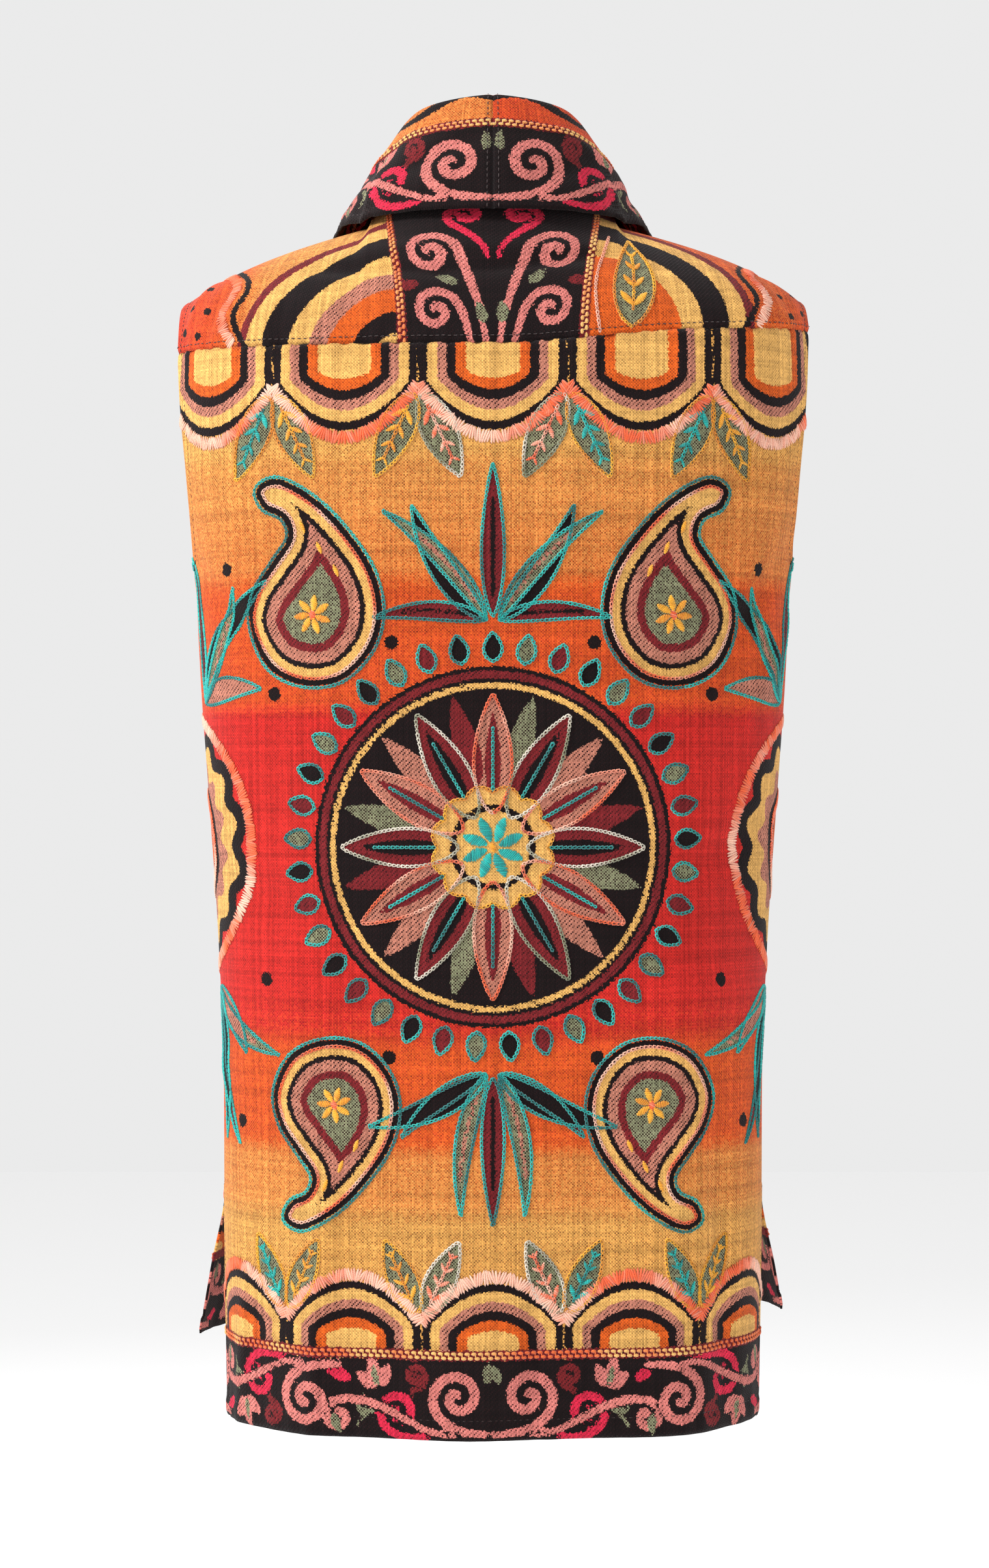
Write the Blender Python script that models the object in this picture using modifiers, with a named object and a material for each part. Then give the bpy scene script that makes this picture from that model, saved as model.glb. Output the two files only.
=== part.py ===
"""Embroidered open-front vest with a shawl collar, worn and seen from behind, with no wearer.

Metres, +Z up. The fronts face -Y and the back faces +Y, so the wearer's left is +X.
The origin is the middle of the neck at the height where shoulder meets neck, which is
where the wearer carries the vest. Every piece of cloth is a thin wall: its outer face is
a surface worked out below, and a Solidify modifier gives it its thickness inwards.
"""

import bmesh
import bpy
import numpy as np
from mathutils import Vector
from mathutils.bvhtree import BVHTree

CLOTH = 0.0020  # thickness of the turned and embroidered cloth
COLLAR_CLOTH = 0.0018
SEAM_GAP = 0.0011  # air between the outer faces of two pieces sewn together, less at their inner faces
SHOULDER_GAP = 0.0015  # the same between yoke and front

# Heights, counted from the point where shoulder meets neck
HEM_BACK = -0.787
HEM_LEFT_FRONT = -0.744
HEM_RIGHT_FRONT = -0.727
CHEST = -0.200  # below here a front hangs in level sections
BREAK = -0.330  # where the collar ends on the front edge

# Neck seam, an ellipse in plan that is open at the front
NECK_HALF_WIDTH = 0.076
NECK_HALF_DEPTH = 0.070
NECK_TURN = np.radians(106.0)  # from centre back to the forward shoulder seam
NECK_SHARE = 0.42  # share of the yoke's half width whose columns end on the neck seam
NECK_LIFT = 0.0030
NECK_FORWARD_DROP = 0.0090
SHOULDER_TIP = (0.2050, -0.0240, -0.0615)
SHOULDER_CROWN = 0.0030  # how far the shoulder seam bows up between neck and tip
YOKE_HALF_WIDTH = 0.205

BACK_POWER = 2.6  # roundness of the level sections, where 2 is an ellipse
FRONT_POWER = 2.3
FRONT_UPPER_SHARE = 0.24  # share of a front's rows between shoulder seam and chest
FOLD_FADE = 6  # power with which folds fade towards the side edges, where pieces meet

# Level sections of the body of the vest
BODY_COLUMNS = ("z", "side_y", "back_y", "front_y")
BODY = (
    (-0.060, -0.004, 0.1040, -0.078),
    (-0.100, -0.004, 0.1080, -0.095),
    (-0.150, -0.004, 0.1130, -0.110),
    (-0.200, -0.005, 0.1140, -0.120),
    (-0.255, -0.005, 0.1120, -0.127),
    (-0.310, -0.005, 0.1080, -0.130),
    (-0.375, -0.005, 0.1030, -0.129),
    (-0.480, -0.005, 0.0985, -0.127),
    (-0.570, -0.005, 0.1000, -0.130),
    (-0.660, -0.005, 0.1040, -0.134),
    (-0.790, -0.005, 0.1085, -0.140),
)

# Outer edges of back and front: armhole, then side seam from -0.255, then the open vent from -0.640
EDGE_COLUMNS = ("z", "back_x", "back_y", "front_x", "front_y")
EDGE = (
    (-0.070, 0.2068, 0.0180, 0.2035, -0.0300),
    (-0.100, 0.2055, 0.0340, 0.1970, -0.0460),
    (-0.140, 0.2025, 0.0440, 0.1890, -0.0620),
    (-0.180, 0.1990, 0.0420, 0.1855, -0.0630),
    (-0.215, 0.1968, 0.0310, 0.1870, -0.0520),
    (-0.240, 0.1958, 0.0140, 0.1910, -0.0310),
    (-0.255, 0.1955, -0.0046, 0.1955, -0.0054),
    (-0.310, 0.1930, -0.0046, 0.1930, -0.0054),
    (-0.375, 0.1885, -0.0046, 0.1885, -0.0054),
    (-0.480, 0.1815, -0.0046, 0.1815, -0.0054),
    (-0.570, 0.1780, -0.0046, 0.1780, -0.0054),
    (-0.640, 0.1777, -0.0046, 0.1777, -0.0054),
    (-0.700, 0.1765, 0.0050, 0.1890, -0.0170),
    (-0.790, 0.1740, 0.0210, 0.2060, -0.0360),
)

# Front edge of a front, from the chest down
CENTRE_COLUMNS = ("z", "x")
CENTRE = (
    (-0.200, 0.0420),
    (-0.255, 0.0290),
    (-0.330, 0.0150),
    (-0.450, 0.0130),
    (-0.600, 0.0160),
    (-0.790, 0.0280),
)

# Seam between yoke and back, a little higher on the wearer's right
YOKE_SEAM_COLUMNS = ("x", "z")
YOKE_SEAM = (
    (-0.205, -0.0790),
    (-0.100, -0.0880),
    (0.000, -0.0975),
    (0.100, -0.0975),
    (0.205, -0.0945),
)

# Soft folds, each a long trough or ridge between two points, with a negative depth for a trough
FOLD_COLUMNS = ("x_top", "z_top", "x_end", "z_end", "half_width", "depth")
BACK_FOLDS = (
    (0.062, -0.330, 0.078, -0.800, 0.026, -0.0040),
    (0.020, -0.480, 0.016, -0.800, 0.022, 0.0032),
    (-0.046, -0.400, -0.060, -0.800, 0.028, -0.0046),
    (-0.112, -0.250, -0.124, -0.800, 0.024, 0.0034),
    (-0.152, -0.140, -0.160, -0.420, 0.018, -0.0028),
    (0.134, -0.150, 0.150, -0.520, 0.020, -0.0030),
)
LEFT_FOLDS = (
    (0.096, -0.220, 0.128, -0.790, 0.022, 0.0070),
    (0.060, -0.340, 0.070, -0.790, 0.018, -0.0045),
    (0.150, -0.420, 0.168, -0.790, 0.016, -0.0045),
)
RIGHT_FOLDS = (
    (0.088, -0.240, 0.116, -0.790, 0.024, 0.0062),
    (0.052, -0.360, 0.060, -0.790, 0.016, -0.0040),
    (0.146, -0.380, 0.160, -0.790, 0.018, -0.0052),
)

# Creases of the yoke, between two points given by x and by the share of the way down to the back seam
YOKE_CREASE_COLUMNS = ("x", "down", "x_end", "down_end", "half_width", "depth")
YOKE_CREASES = (
    (0.076, 0.50, -0.070, 0.40, 0.0075, -0.0026),
    (0.170, 0.90, 0.158, 0.40, 0.0070, -0.0024),
    (0.191, 0.80, 0.182, 0.36, 0.0060, 0.0018),
)
YOKE_DEPTH = 0.105  # from neck to back seam, which turns a share of the way down into a length

# The collar's section, by share of the way along the neckline from centre back to the break.
# rise, inward and off set the direction in which the stand leaves the neckline.
COLLAR_COLUMNS = ("way", "stand", "rise", "inward", "off", "fall", "clear")
COLLAR = (
    (0.00, 0.0650, 1.0, 0.12, 0.0, 0.018, 0.0080),
    (0.10, 0.0610, 1.0, 0.17, 0.0, 0.020, 0.0075),
    (0.18, 0.0500, 1.0, 0.30, 0.0, 0.027, 0.0066),
    (0.24, 0.0390, 1.0, 0.34, 0.1, 0.032, 0.0060),
    (0.31, 0.0280, 0.7, 0.28, 0.5, 0.041, 0.0056),
    (0.40, 0.0190, 0.2, 0.18, 1.0, 0.051, 0.0054),
    (0.55, 0.0125, 0.0, 0.12, 1.0, 0.057, 0.0054),
    (0.70, 0.0105, 0.0, 0.08, 1.0, 0.052, 0.0054),
    (0.86, 0.0094, 0.0, 0.05, 1.0, 0.038, 0.0054),
    (1.00, 0.0085, 0.0, 0.02, 1.0, 0.021, 0.0054),
)
NECKLINE_STEPS = 260
SETTLE_REACH = 16
COLLAR_TURN = 0.0032  # radius of the collar's fold
COLLAR_START = 0.0014  # height of the stand's lower edge over the neck seam
COLLAR_BULGE = 0.0034  # how far the fall rounds out between fold and edge
CENTRE_BACK_GAP = 0.0010

BACK_GRID = (32, 32)
YOKE_GRID = (34, 8)
FRONT_GRID = (13, 34)
COLLAR_GRID = (26, 10)

ORANGE = (0.72, 0.16, 0.04, 1.0)
OCHRE = (0.66, 0.33, 0.09, 1.0)
BLACK = (0.02, 0.015, 0.018, 1.0)
CLOTH_ROUGHNESS = 0.85


def smooth(table, column, at):
    """Value of one column of a table at the given keys, on a curve that never overshoots its rows."""
    rows = np.array(sorted(table))
    keys, values = rows[:, 0], rows[:, column]
    at = np.clip(np.asarray(at, float), keys[0], keys[-1])
    step = np.diff(keys)
    slope = np.diff(values) / step
    tangent = np.concatenate([slope[:1], np.zeros(len(slope) - 1), slope[-1:]])
    same = slope[:-1] * slope[1:] > 0
    mean = 2 * slope[:-1] * slope[1:] / np.where(same, slope[:-1] + slope[1:], 1)
    tangent[1:-1][same] = mean[same]
    k = np.clip(np.searchsorted(keys, at, "right") - 1, 0, len(step) - 1)
    t = (at - keys[k]) / step[k]
    curved = values[k] + (values[k + 1] - values[k]) * (3 - 2 * t) * t * t
    return curved + step[k] * t * (1 - t) * ((1 - t) * tangent[k] - t * tangent[k + 1])


def stack(x, y, z):
    """Three arrays as one array of points."""
    return np.stack(np.broadcast_arrays(x, y, z), axis=-1)


def unit(vectors):
    """The same directions with length one."""
    return vectors / np.linalg.norm(vectors, axis=-1, keepdims=True)


def hermite(start, start_pull, end, end_pull, t):
    """Points at t on the curve that leaves start along start_pull and arrives at end along end_pull."""
    t = np.asarray(t)[..., None]
    leaving = (2 * t**3 - 3 * t**2 + 1) * start + (t**3 - 2 * t**2 + t) * start_pull
    arriving = (3 * t**2 - 2 * t**3) * end + (t**3 - t**2) * end_pull
    return leaving + arriving


def section(side, z, share):
    """x and y at a share of each level section, from the middle, or a front's edge, to the outer edge."""
    z, share = np.broadcast_arrays(np.asarray(z, float), np.asarray(share, float))
    back = side == "back"
    power = BACK_POWER if back else FRONT_POWER
    side_y = smooth(BODY, 1, z)
    depth = smooth(BODY, 2 if back else 3, z) - side_y
    edge_x = smooth(EDGE, 1 if back else 3, z)
    edge_y = smooth(EDGE, 2 if back else 4, z)
    cut = np.clip((edge_y - side_y) / depth, 0.0, 1.0)
    full = edge_x / (1 - cut**power) ** (1 / power)
    inner = 0 * full if back else smooth(CENTRE, 1, z) / full
    first, last = np.arcsin(inner ** (power / 2)), np.arccos(cut ** (power / 2))
    angle = first[..., None] + (last - first)[..., None] * np.linspace(0, 1, 120)
    x = full[..., None] * np.sin(angle) ** (2 / power)
    y = side_y[..., None] + depth[..., None] * np.cos(angle) ** (2 / power)
    length = np.cumsum(np.hypot(np.diff(x), np.diff(y)), axis=-1)
    length = np.concatenate([0 * length[..., :1], length], axis=-1)
    wanted = share * length[..., -1]
    k = np.clip((length <= wanted[..., None]).sum(axis=-1) - 1, 0, length.shape[-1] - 2)[..., None]
    low, high = np.take_along_axis(length, k, -1), np.take_along_axis(length, k + 1, -1)
    t = (wanted[..., None] - low) / (high - low)
    points = [np.take_along_axis(v, k, -1) * (1 - t) + np.take_along_axis(v, k + 1, -1) * t for v in (x, y)]
    return points[0][..., 0], points[1][..., 0]


def folded(x, z, folds):
    """How far the soft folds push the cloth out at x and z."""
    pushed = np.zeros(np.broadcast(x, z).shape)
    for x_top, z_top, x_end, z_end, half_width, depth in folds:
        way = np.clip((z_top - z) / (z_top - z_end), 0, 1)
        across = (x - (x_top + (x_end - x_top) * way)) / half_width
        pushed += depth * np.sin(way * np.pi / 2) ** 1.5 * np.exp(-across * across)
    return pushed


def back_point(share, z):
    """Points of the back, at shares from -1 to 1 of its width and at heights z."""
    x, y = section("back", z, np.abs(share))
    x = x * np.sign(share)
    return stack(x, y + folded(x, z, BACK_FOLDS) * (1 - np.abs(share) ** FOLD_FADE), z)


def neck_seam(turn):
    """Points of the neck seam, turn radians from centre back on the wearer's left."""
    forward = np.clip((turn - np.pi / 2) / (NECK_TURN - np.pi / 2), 0, 1)
    z = NECK_LIFT * np.cos(turn) - NECK_FORWARD_DROP * forward
    return stack(NECK_HALF_WIDTH * np.sin(turn), NECK_HALF_DEPTH * np.cos(turn), z)


def shoulder_seam(share):
    """Points of the forward shoulder seam on the wearer's left, from neck to tip."""
    share = np.asarray(share, float)
    corner = neck_seam(NECK_TURN)
    seam = corner + (np.array(SHOULDER_TIP) - corner) * share[..., None]
    seam[..., 2] += SHOULDER_CROWN * np.sin(np.pi * share)
    return seam


def forward_pull(share):
    """Direction in which the cloth passes the shoulder seam, going forwards."""
    share = np.asarray(share, float)
    return stack(-0.10 + 0.0 * share, -1.0 + 0.12 * share, -0.26 - 0.26 * share)


def yoke_point(share, down):
    """Points of the yoke, share from -1 to 1 across and down from 0 at neck or shoulder to 1 at the back."""
    share, down = np.broadcast_arrays(np.asarray(share, float), np.asarray(down, float))
    across = np.abs(share)
    mirror = stack(np.where(share < 0, -1.0, 1.0), 1.0, 1.0)
    on_neck = np.clip(across / NECK_SHARE, 0, 1)
    on_shoulder = np.clip((across - NECK_SHARE) / (1 - NECK_SHARE), 0, 1)
    by_neck = (across < NECK_SHARE)[..., None]
    top = np.where(by_neck, neck_seam(on_neck * NECK_TURN), shoulder_seam(on_shoulder)) * mirror
    over = (on_neck**1.3)[..., None]
    neck_pull = np.array([0.0, -0.45, 0.90]) * (1 - over) + forward_pull(0.0) * over
    top_pull = np.where(by_neck, neck_pull, forward_pull(on_shoulder)) * mirror
    bottom = back_point(share, smooth(YOKE_SEAM, 1, share * YOKE_HALF_WIDTH) + SEAM_GAP / 2)
    bottom_pull = np.array([0.0, -0.10, 1.0])
    reach = 1.08 * np.linalg.norm(top - bottom, axis=-1, keepdims=True)
    points = hermite(top, -top_pull * reach, bottom, -bottom_pull * reach, down)
    crease = yoke_creased(points[..., 0], down)[..., None]
    return points + crease * unit(stack(0.0 * down, 0.35 + 0.65 * down, 1.0 - 0.8 * down))


def yoke_creased(x, down):
    """How far the creases push the yoke out."""
    pushed = np.zeros(np.broadcast(x, down).shape)
    for x_start, down_start, x_end, down_end, half_width, depth in YOKE_CREASES:
        run = np.array([x_end - x_start, (down_end - down_start) * YOKE_DEPTH])
        from_start = np.stack([x - x_start, (down - down_start) * YOKE_DEPTH])
        way = np.clip((from_start[0] * run[0] + from_start[1] * run[1]) / (run @ run), 0, 1)
        apart = np.hypot(from_start[0] - way * run[0], from_start[1] - way * run[1]) / half_width
        pushed += depth * np.exp(-apart * apart)
    return pushed


def front_point(share, way, hem, folds):
    """Points of the left front, share from its edge to its side and way from shoulder seam to hem."""
    share, way = np.broadcast_arrays(np.asarray(share, float), np.asarray(way, float))
    seam = shoulder_seam(share) + unit(forward_pull(share)) * SHOULDER_GAP
    chest = stack(*section("front", CHEST, share), CHEST)
    reach = np.linalg.norm(seam - chest, axis=-1, keepdims=True)
    seam_pull = forward_pull(share) * reach * (1.05 - 0.45 * share[..., None])
    chest_pull = stack(-0.22 + 0.22 * share, -0.05, -1.0) * reach
    upper_way = np.clip(way / FRONT_UPPER_SHARE, 0, 1)
    upper = hermite(seam, seam_pull, chest, chest_pull, upper_way)
    z = CHEST + (hem - CHEST) * np.clip((way - FRONT_UPPER_SHARE) / (1 - FRONT_UPPER_SHARE), 0, 1)
    x, y = section("front", z, share)
    lower = stack(x, y - folded(x, z, folds) * (1 - share**FOLD_FADE), z)
    return np.where((way < FRONT_UPPER_SHARE)[..., None], upper, lower)


def surface_tree(hem, folds):
    """A search tree over the left half of yoke and front, for what lies on them."""
    points, faces = [], []
    steps = np.linspace(0, 1, 61)
    for patch in (
        yoke_point(steps[None, :] * 1.04 - 0.04, steps[::-1, None]),
        front_point(steps[None, :], steps[:, None], hem, folds),
    ):
        start = len(points)
        rows, columns = patch.shape[:2]
        points += [Vector(p) for p in patch.reshape(-1, 3)]
        for r in range(rows - 1):
            for c in range(columns - 1):
                k = start + r * columns + c
                faces.append((k, k + 1, k + columns + 1, k + columns))
    return BVHTree.FromPolygons(points, faces)


def neckline(hem, folds, count):
    """Evenly spaced points from centre back round the neck and down the front edge to the break."""
    break_way = FRONT_UPPER_SHARE + (1 - FRONT_UPPER_SHARE) * (BREAK - CHEST) / (hem - CHEST)
    round_neck = neck_seam(np.linspace(0, NECK_TURN, 120))
    down_front = front_point(0.0, np.linspace(0, break_way, 240)[1:], hem, folds)
    line = np.concatenate([round_neck, down_front])
    length = np.concatenate([[0], np.cumsum(np.linalg.norm(np.diff(line, axis=0), axis=1))])
    wanted = np.linspace(0, length[-1], count)
    return np.stack([np.interp(wanted, length, line[:, k]) for k in range(3)], axis=-1)


def settled(vectors):
    """Directions from centre back on, each averaged with its neighbours, of which the first have a mirrored half."""
    weights = np.hanning(2 * SETTLE_REACH + 1)[1:-1]
    before = vectors[SETTLE_REACH - 1 : 0 : -1] * np.array([-1.0, 1.0, 1.0])
    after = np.repeat(vectors[-1:], SETTLE_REACH - 1, axis=0)
    around = np.concatenate([before, vectors, after])
    result = np.stack([np.convolve(around[:, k], weights, "valid") for k in range(3)], axis=-1)
    result[0, 0] = 0.0
    return unit(result)


def collar_point(way, profile, hem, folds):
    """Grid of the left collar: a row for each way along the neckline, columns from its seam to its outer edge."""
    tree = surface_tree(hem, folds)
    line = neckline(hem, folds, NECKLINE_STEPS + 1)
    tangents = unit(np.gradient(line, axis=0))
    normals = np.array([tree.find_nearest(Vector(point))[1] for point in line])
    away = line - np.array([0.0, 0.0, -0.25])
    normals = settled(normals * np.sign((normals * away).sum(axis=1, keepdims=True)))
    outs = np.cross(normals, tangents)
    outs = settled(outs * np.sign((outs * (line + np.array([0.02, 0.0, -0.25]))).sum(axis=1, keepdims=True)))
    shares = np.linspace(0, 1, NECKLINE_STEPS + 1)
    stand, rise, inward, off, fall, clear = (smooth(COLLAR, c, shares) for c in range(1, 7))
    level_in = -unit(stack(outs[:, 0], np.maximum(outs[:, 1], 0.0), 0.0))
    ups = stack(0.0, 0.0, rise) + level_in * inward[:, None] + normals * off[:, None]
    ups = settled(ups)
    edges = []
    for k, point in enumerate(line):
        place, normal = tree.find_nearest(Vector(point + outs[k] * fall[k]))[:2]
        normal = np.array(normal) * np.sign(np.array(normal) @ normals[k])
        edges.append(np.array(place) + normal * clear[k])
    edges = np.array(edges)
    edges[0, 0] = 0.0
    rows = []
    for k in np.round(way * NECKLINE_STEPS).astype(int):
        rows.append(collar_section(line[k], ups[k], outs[k], edges[k], stand[k], profile))
    return np.array(rows)


def collar_section(base, up, out, edge, stand, profile):
    """Points of one section of the collar: up the stand, round the fold and down the fall to its edge."""
    out = unit(out - up * (out @ up))
    start = base + up * COLLAR_START
    centre = base + up * (stand - COLLAR_TURN) + out * COLLAR_TURN
    turn = [
        centre + COLLAR_TURN * (-out * np.cos(a) + up * np.sin(a)) for a in np.radians((0, 50, 100, 150))
    ]
    drop = edge - turn[-1]
    bulge = out * COLLAR_BULGE
    falling = [turn[-1] + drop * share + bulge * np.sin(np.pi * share) for share in (0.25, 0.5, 0.75, 1.0)]
    line = np.array([start, (start + turn[0]) / 2, *turn, *falling])
    place = np.linspace(0, 1, len(line))
    return np.stack([np.interp(profile, place, line[:, k]) for k in range(3)], axis=-1)


def cloth(name, grid, place, colour, thickness, outside):
    """One named wall of cloth: a grid moved to place(shares across, shares down), whose outer face looks outside."""
    columns, rows = grid
    points = place(np.linspace(0, 1, columns + 1), np.linspace(0, 1, rows + 1))
    bm = bmesh.new()
    bmesh.ops.create_grid(bm, x_segments=columns, y_segments=rows, size=0.5)
    for vert in bm.verts:
        column = round((vert.co.x + 0.5) * columns)
        row = round((0.5 - vert.co.y) * rows)
        vert.co = points[row, column]
    bm.normal_update()
    if sum((face.normal.dot(outside) for face in bm.faces)) < 0:
        bmesh.ops.reverse_faces(bm, faces=bm.faces)
    mesh = bpy.data.meshes.new(name)
    bm.to_mesh(mesh)
    bm.free()
    mesh.shade_smooth()
    obj = bpy.data.objects.new(name, mesh)
    obj.data.materials.append(woven(name + "_cloth", colour))
    wall = obj.modifiers.new("wall", "SOLIDIFY")
    wall.thickness = thickness
    wall.offset = -1.0
    wall.use_even_offset = True
    return obj


def woven(name, colour):
    """Plain woven wool in one colour."""
    material = bpy.data.materials.new(name)
    material.use_nodes = True
    shader = material.node_tree.nodes["Principled BSDF"]
    shader.inputs["Base Color"].default_value = colour
    shader.inputs["Roughness"].default_value = CLOTH_ROUGHNESS
    return material


def make_back():
    """The back, from the yoke seam to the hem, between armholes, side seams and vents."""

    def place(across, down):
        share = across[None, :] * 2 - 1
        top = smooth(YOKE_SEAM, 1, share * YOKE_HALF_WIDTH) - SEAM_GAP / 2
        return back_point(share + 0 * down[:, None], top + (HEM_BACK - top) * down[:, None])

    return cloth("back", BACK_GRID, place, ORANGE, CLOTH, Vector((0, 1, 0)))


def make_yoke():
    """The yoke, which covers the shoulders and reaches a little over them to the front."""

    def place(across, down):
        return yoke_point(across[None, :] * 2 - 1, down[:, None])

    return cloth("yoke", YOKE_GRID, place, OCHRE, CLOTH, Vector((0, 0.3, 1)))


def make_front(name, hem, folds, side):
    """One front, from the shoulder seam to the hem, on the wearer's left (1) or right (-1)."""

    def place(across, down):
        return front_point(across[None, :], down[:, None], hem, folds) * np.array([side, 1, 1])

    return cloth(name, FRONT_GRID, place, ORANGE, CLOTH, Vector((0, -1, 0)))


def make_collar(name, hem, folds, side):
    """Half of the shawl collar, from centre back to the break."""

    def place(across, down):
        points = collar_point(across, down, hem, folds).transpose(1, 0, 2)
        points[..., 0] += CENTRE_BACK_GAP / 2
        return points * np.array([side, 1, 1])

    return cloth(name, COLLAR_GRID, place, BLACK, COLLAR_CLOTH, Vector((side, 0, 1)))


def main():
    for obj in list(bpy.data.objects):
        bpy.data.objects.remove(obj)
    garment = bpy.data.collections.new("embroidered_vest")
    bpy.context.scene.collection.children.link(garment)
    pieces = [
        make_back(),
        make_yoke(),
        make_front("front_left", HEM_LEFT_FRONT, LEFT_FOLDS, 1),
        make_front("front_right", HEM_RIGHT_FRONT, RIGHT_FOLDS, -1),
        make_collar("collar_left", HEM_LEFT_FRONT, LEFT_FOLDS, 1),
        make_collar("collar_right", HEM_RIGHT_FRONT, RIGHT_FOLDS, -1),
    ]
    for piece in pieces:
        garment.objects.link(piece)


if __name__ == "__main__":
    main()
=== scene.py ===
"""Embroidered open-front vest with a shawl collar: woven cloth, chain-stitch embroidery and a plain stage.

The cloth lies on the surfaces that the solids have, with finer creases, and keeps its flat
cut as a UV map in metres. Woven motifs are signed distances at the vertices, which the
cloth's material turns into crisp edges, and all raised stitches are meshes of yarn.
"""

from types import SimpleNamespace

import bmesh
import bpy
import numpy as np
from mathutils import Matrix, Vector
from mathutils.bvhtree import BVHTree


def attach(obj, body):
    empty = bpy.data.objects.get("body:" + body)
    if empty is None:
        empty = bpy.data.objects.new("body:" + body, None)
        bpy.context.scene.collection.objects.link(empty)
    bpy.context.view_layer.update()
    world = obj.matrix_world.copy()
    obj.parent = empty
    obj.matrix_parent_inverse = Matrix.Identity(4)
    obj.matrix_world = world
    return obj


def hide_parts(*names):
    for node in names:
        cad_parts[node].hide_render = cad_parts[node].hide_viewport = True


bl_info = {
    "name": "Embroidered vest",
    "version": (1, 0, 0),
    "blender": (4, 5, 0),
    "location": "3D View > Sidebar > Vest",
    "description": "Builds a worn, open-front embroidered vest and a plain stage for it",
    "category": "Object",
}

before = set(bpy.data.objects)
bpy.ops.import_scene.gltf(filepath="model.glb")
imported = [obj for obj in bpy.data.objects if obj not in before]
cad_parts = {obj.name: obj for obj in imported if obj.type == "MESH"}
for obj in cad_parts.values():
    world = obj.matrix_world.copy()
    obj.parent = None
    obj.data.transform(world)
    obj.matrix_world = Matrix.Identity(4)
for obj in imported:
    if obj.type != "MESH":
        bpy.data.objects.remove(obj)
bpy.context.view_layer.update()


class Table:
    """Rows of numbers under named columns, of which the first is the key of the others."""

    def __init__(self, columns, *rows):
        self.columns, self.rows = columns, np.array(sorted(rows))

    def smooth(self, column, at):
        """Value of a column at the given keys, on a curve that never overshoots its rows."""
        keys, values = self.rows[:, 0], self.rows[:, self.columns.index(column)]
        at = np.clip(np.asarray(at, float), keys[0], keys[-1])
        step = np.diff(keys)
        slope = np.diff(values) / step
        tangent = np.concatenate([slope[:1], np.zeros(len(slope) - 1), slope[-1:]])
        same = slope[:-1] * slope[1:] > 0
        mean = 2 * slope[:-1] * slope[1:] / np.where(same, slope[:-1] + slope[1:], 1)
        tangent[1:-1][same] = mean[same]
        k = np.clip(np.searchsorted(keys, at, "right") - 1, 0, len(step) - 1)
        t = (at - keys[k]) / step[k]
        curved = values[k] + (values[k + 1] - values[k]) * (3 - 2 * t) * t * t
        return curved + step[k] * t * (1 - t) * ((1 - t) * tangent[k] - t * tangent[k + 1])

    def straight(self, column, at):
        """Value of a column at the given keys, on straight lines between its rows."""
        return np.interp(at, self.rows[:, 0], self.rows[:, self.columns.index(column)])


def rows(columns, table):
    """The rows of a table, each with its values under the names of the columns."""
    return [SimpleNamespace(**dict(zip(columns, row))) for row in table]


# Cut and worn form, with the same values as the solids
HEM_BACK = -0.787
HEM_LEFT_FRONT = -0.744
HEM_RIGHT_FRONT = -0.727
CHEST = -0.200
BREAK = -0.330
NECK_HALF_WIDTH = 0.076
NECK_HALF_DEPTH = 0.070
NECK_TURN = np.radians(106.0)
NECK_SHARE = 0.42
NECK_LIFT = 0.0030
NECK_FORWARD_DROP = 0.0090
SHOULDER_TIP = (0.2050, -0.0240, -0.0615)
SHOULDER_CROWN = 0.0030
YOKE_HALF_WIDTH = 0.205
BACK_POWER = 2.6
FRONT_POWER = 2.3
FRONT_UPPER_SHARE = 0.24
FOLD_FADE = 6
SEAM_GAP = -0.0005
SIDE_TOP = -0.255  # where the armhole ends and the side seam starts
VENT_TOP = -0.640  # where the side seam ends and the vent starts
TURNED_EDGE = 0.0120  # width of the turned-in hem
TURNED_ARMHOLE = 0.0080
TURNED_COLLAR = 0.0060
HEM_STITCH = 0.0126  # how far the running stitches lie from hem, vents and front edge
ARMHOLE_STITCH = 0.0082
SIDE_STITCH = 0.0030
YOKE_STITCH = 0.0042
SHOULDER_STITCH = 0.0040
COLLAR_STITCH = 0.0060
CENTRE_STITCH = 0.0035
FLAT_STEP = 0.0006  # step on the flat cut over which directions are read

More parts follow.
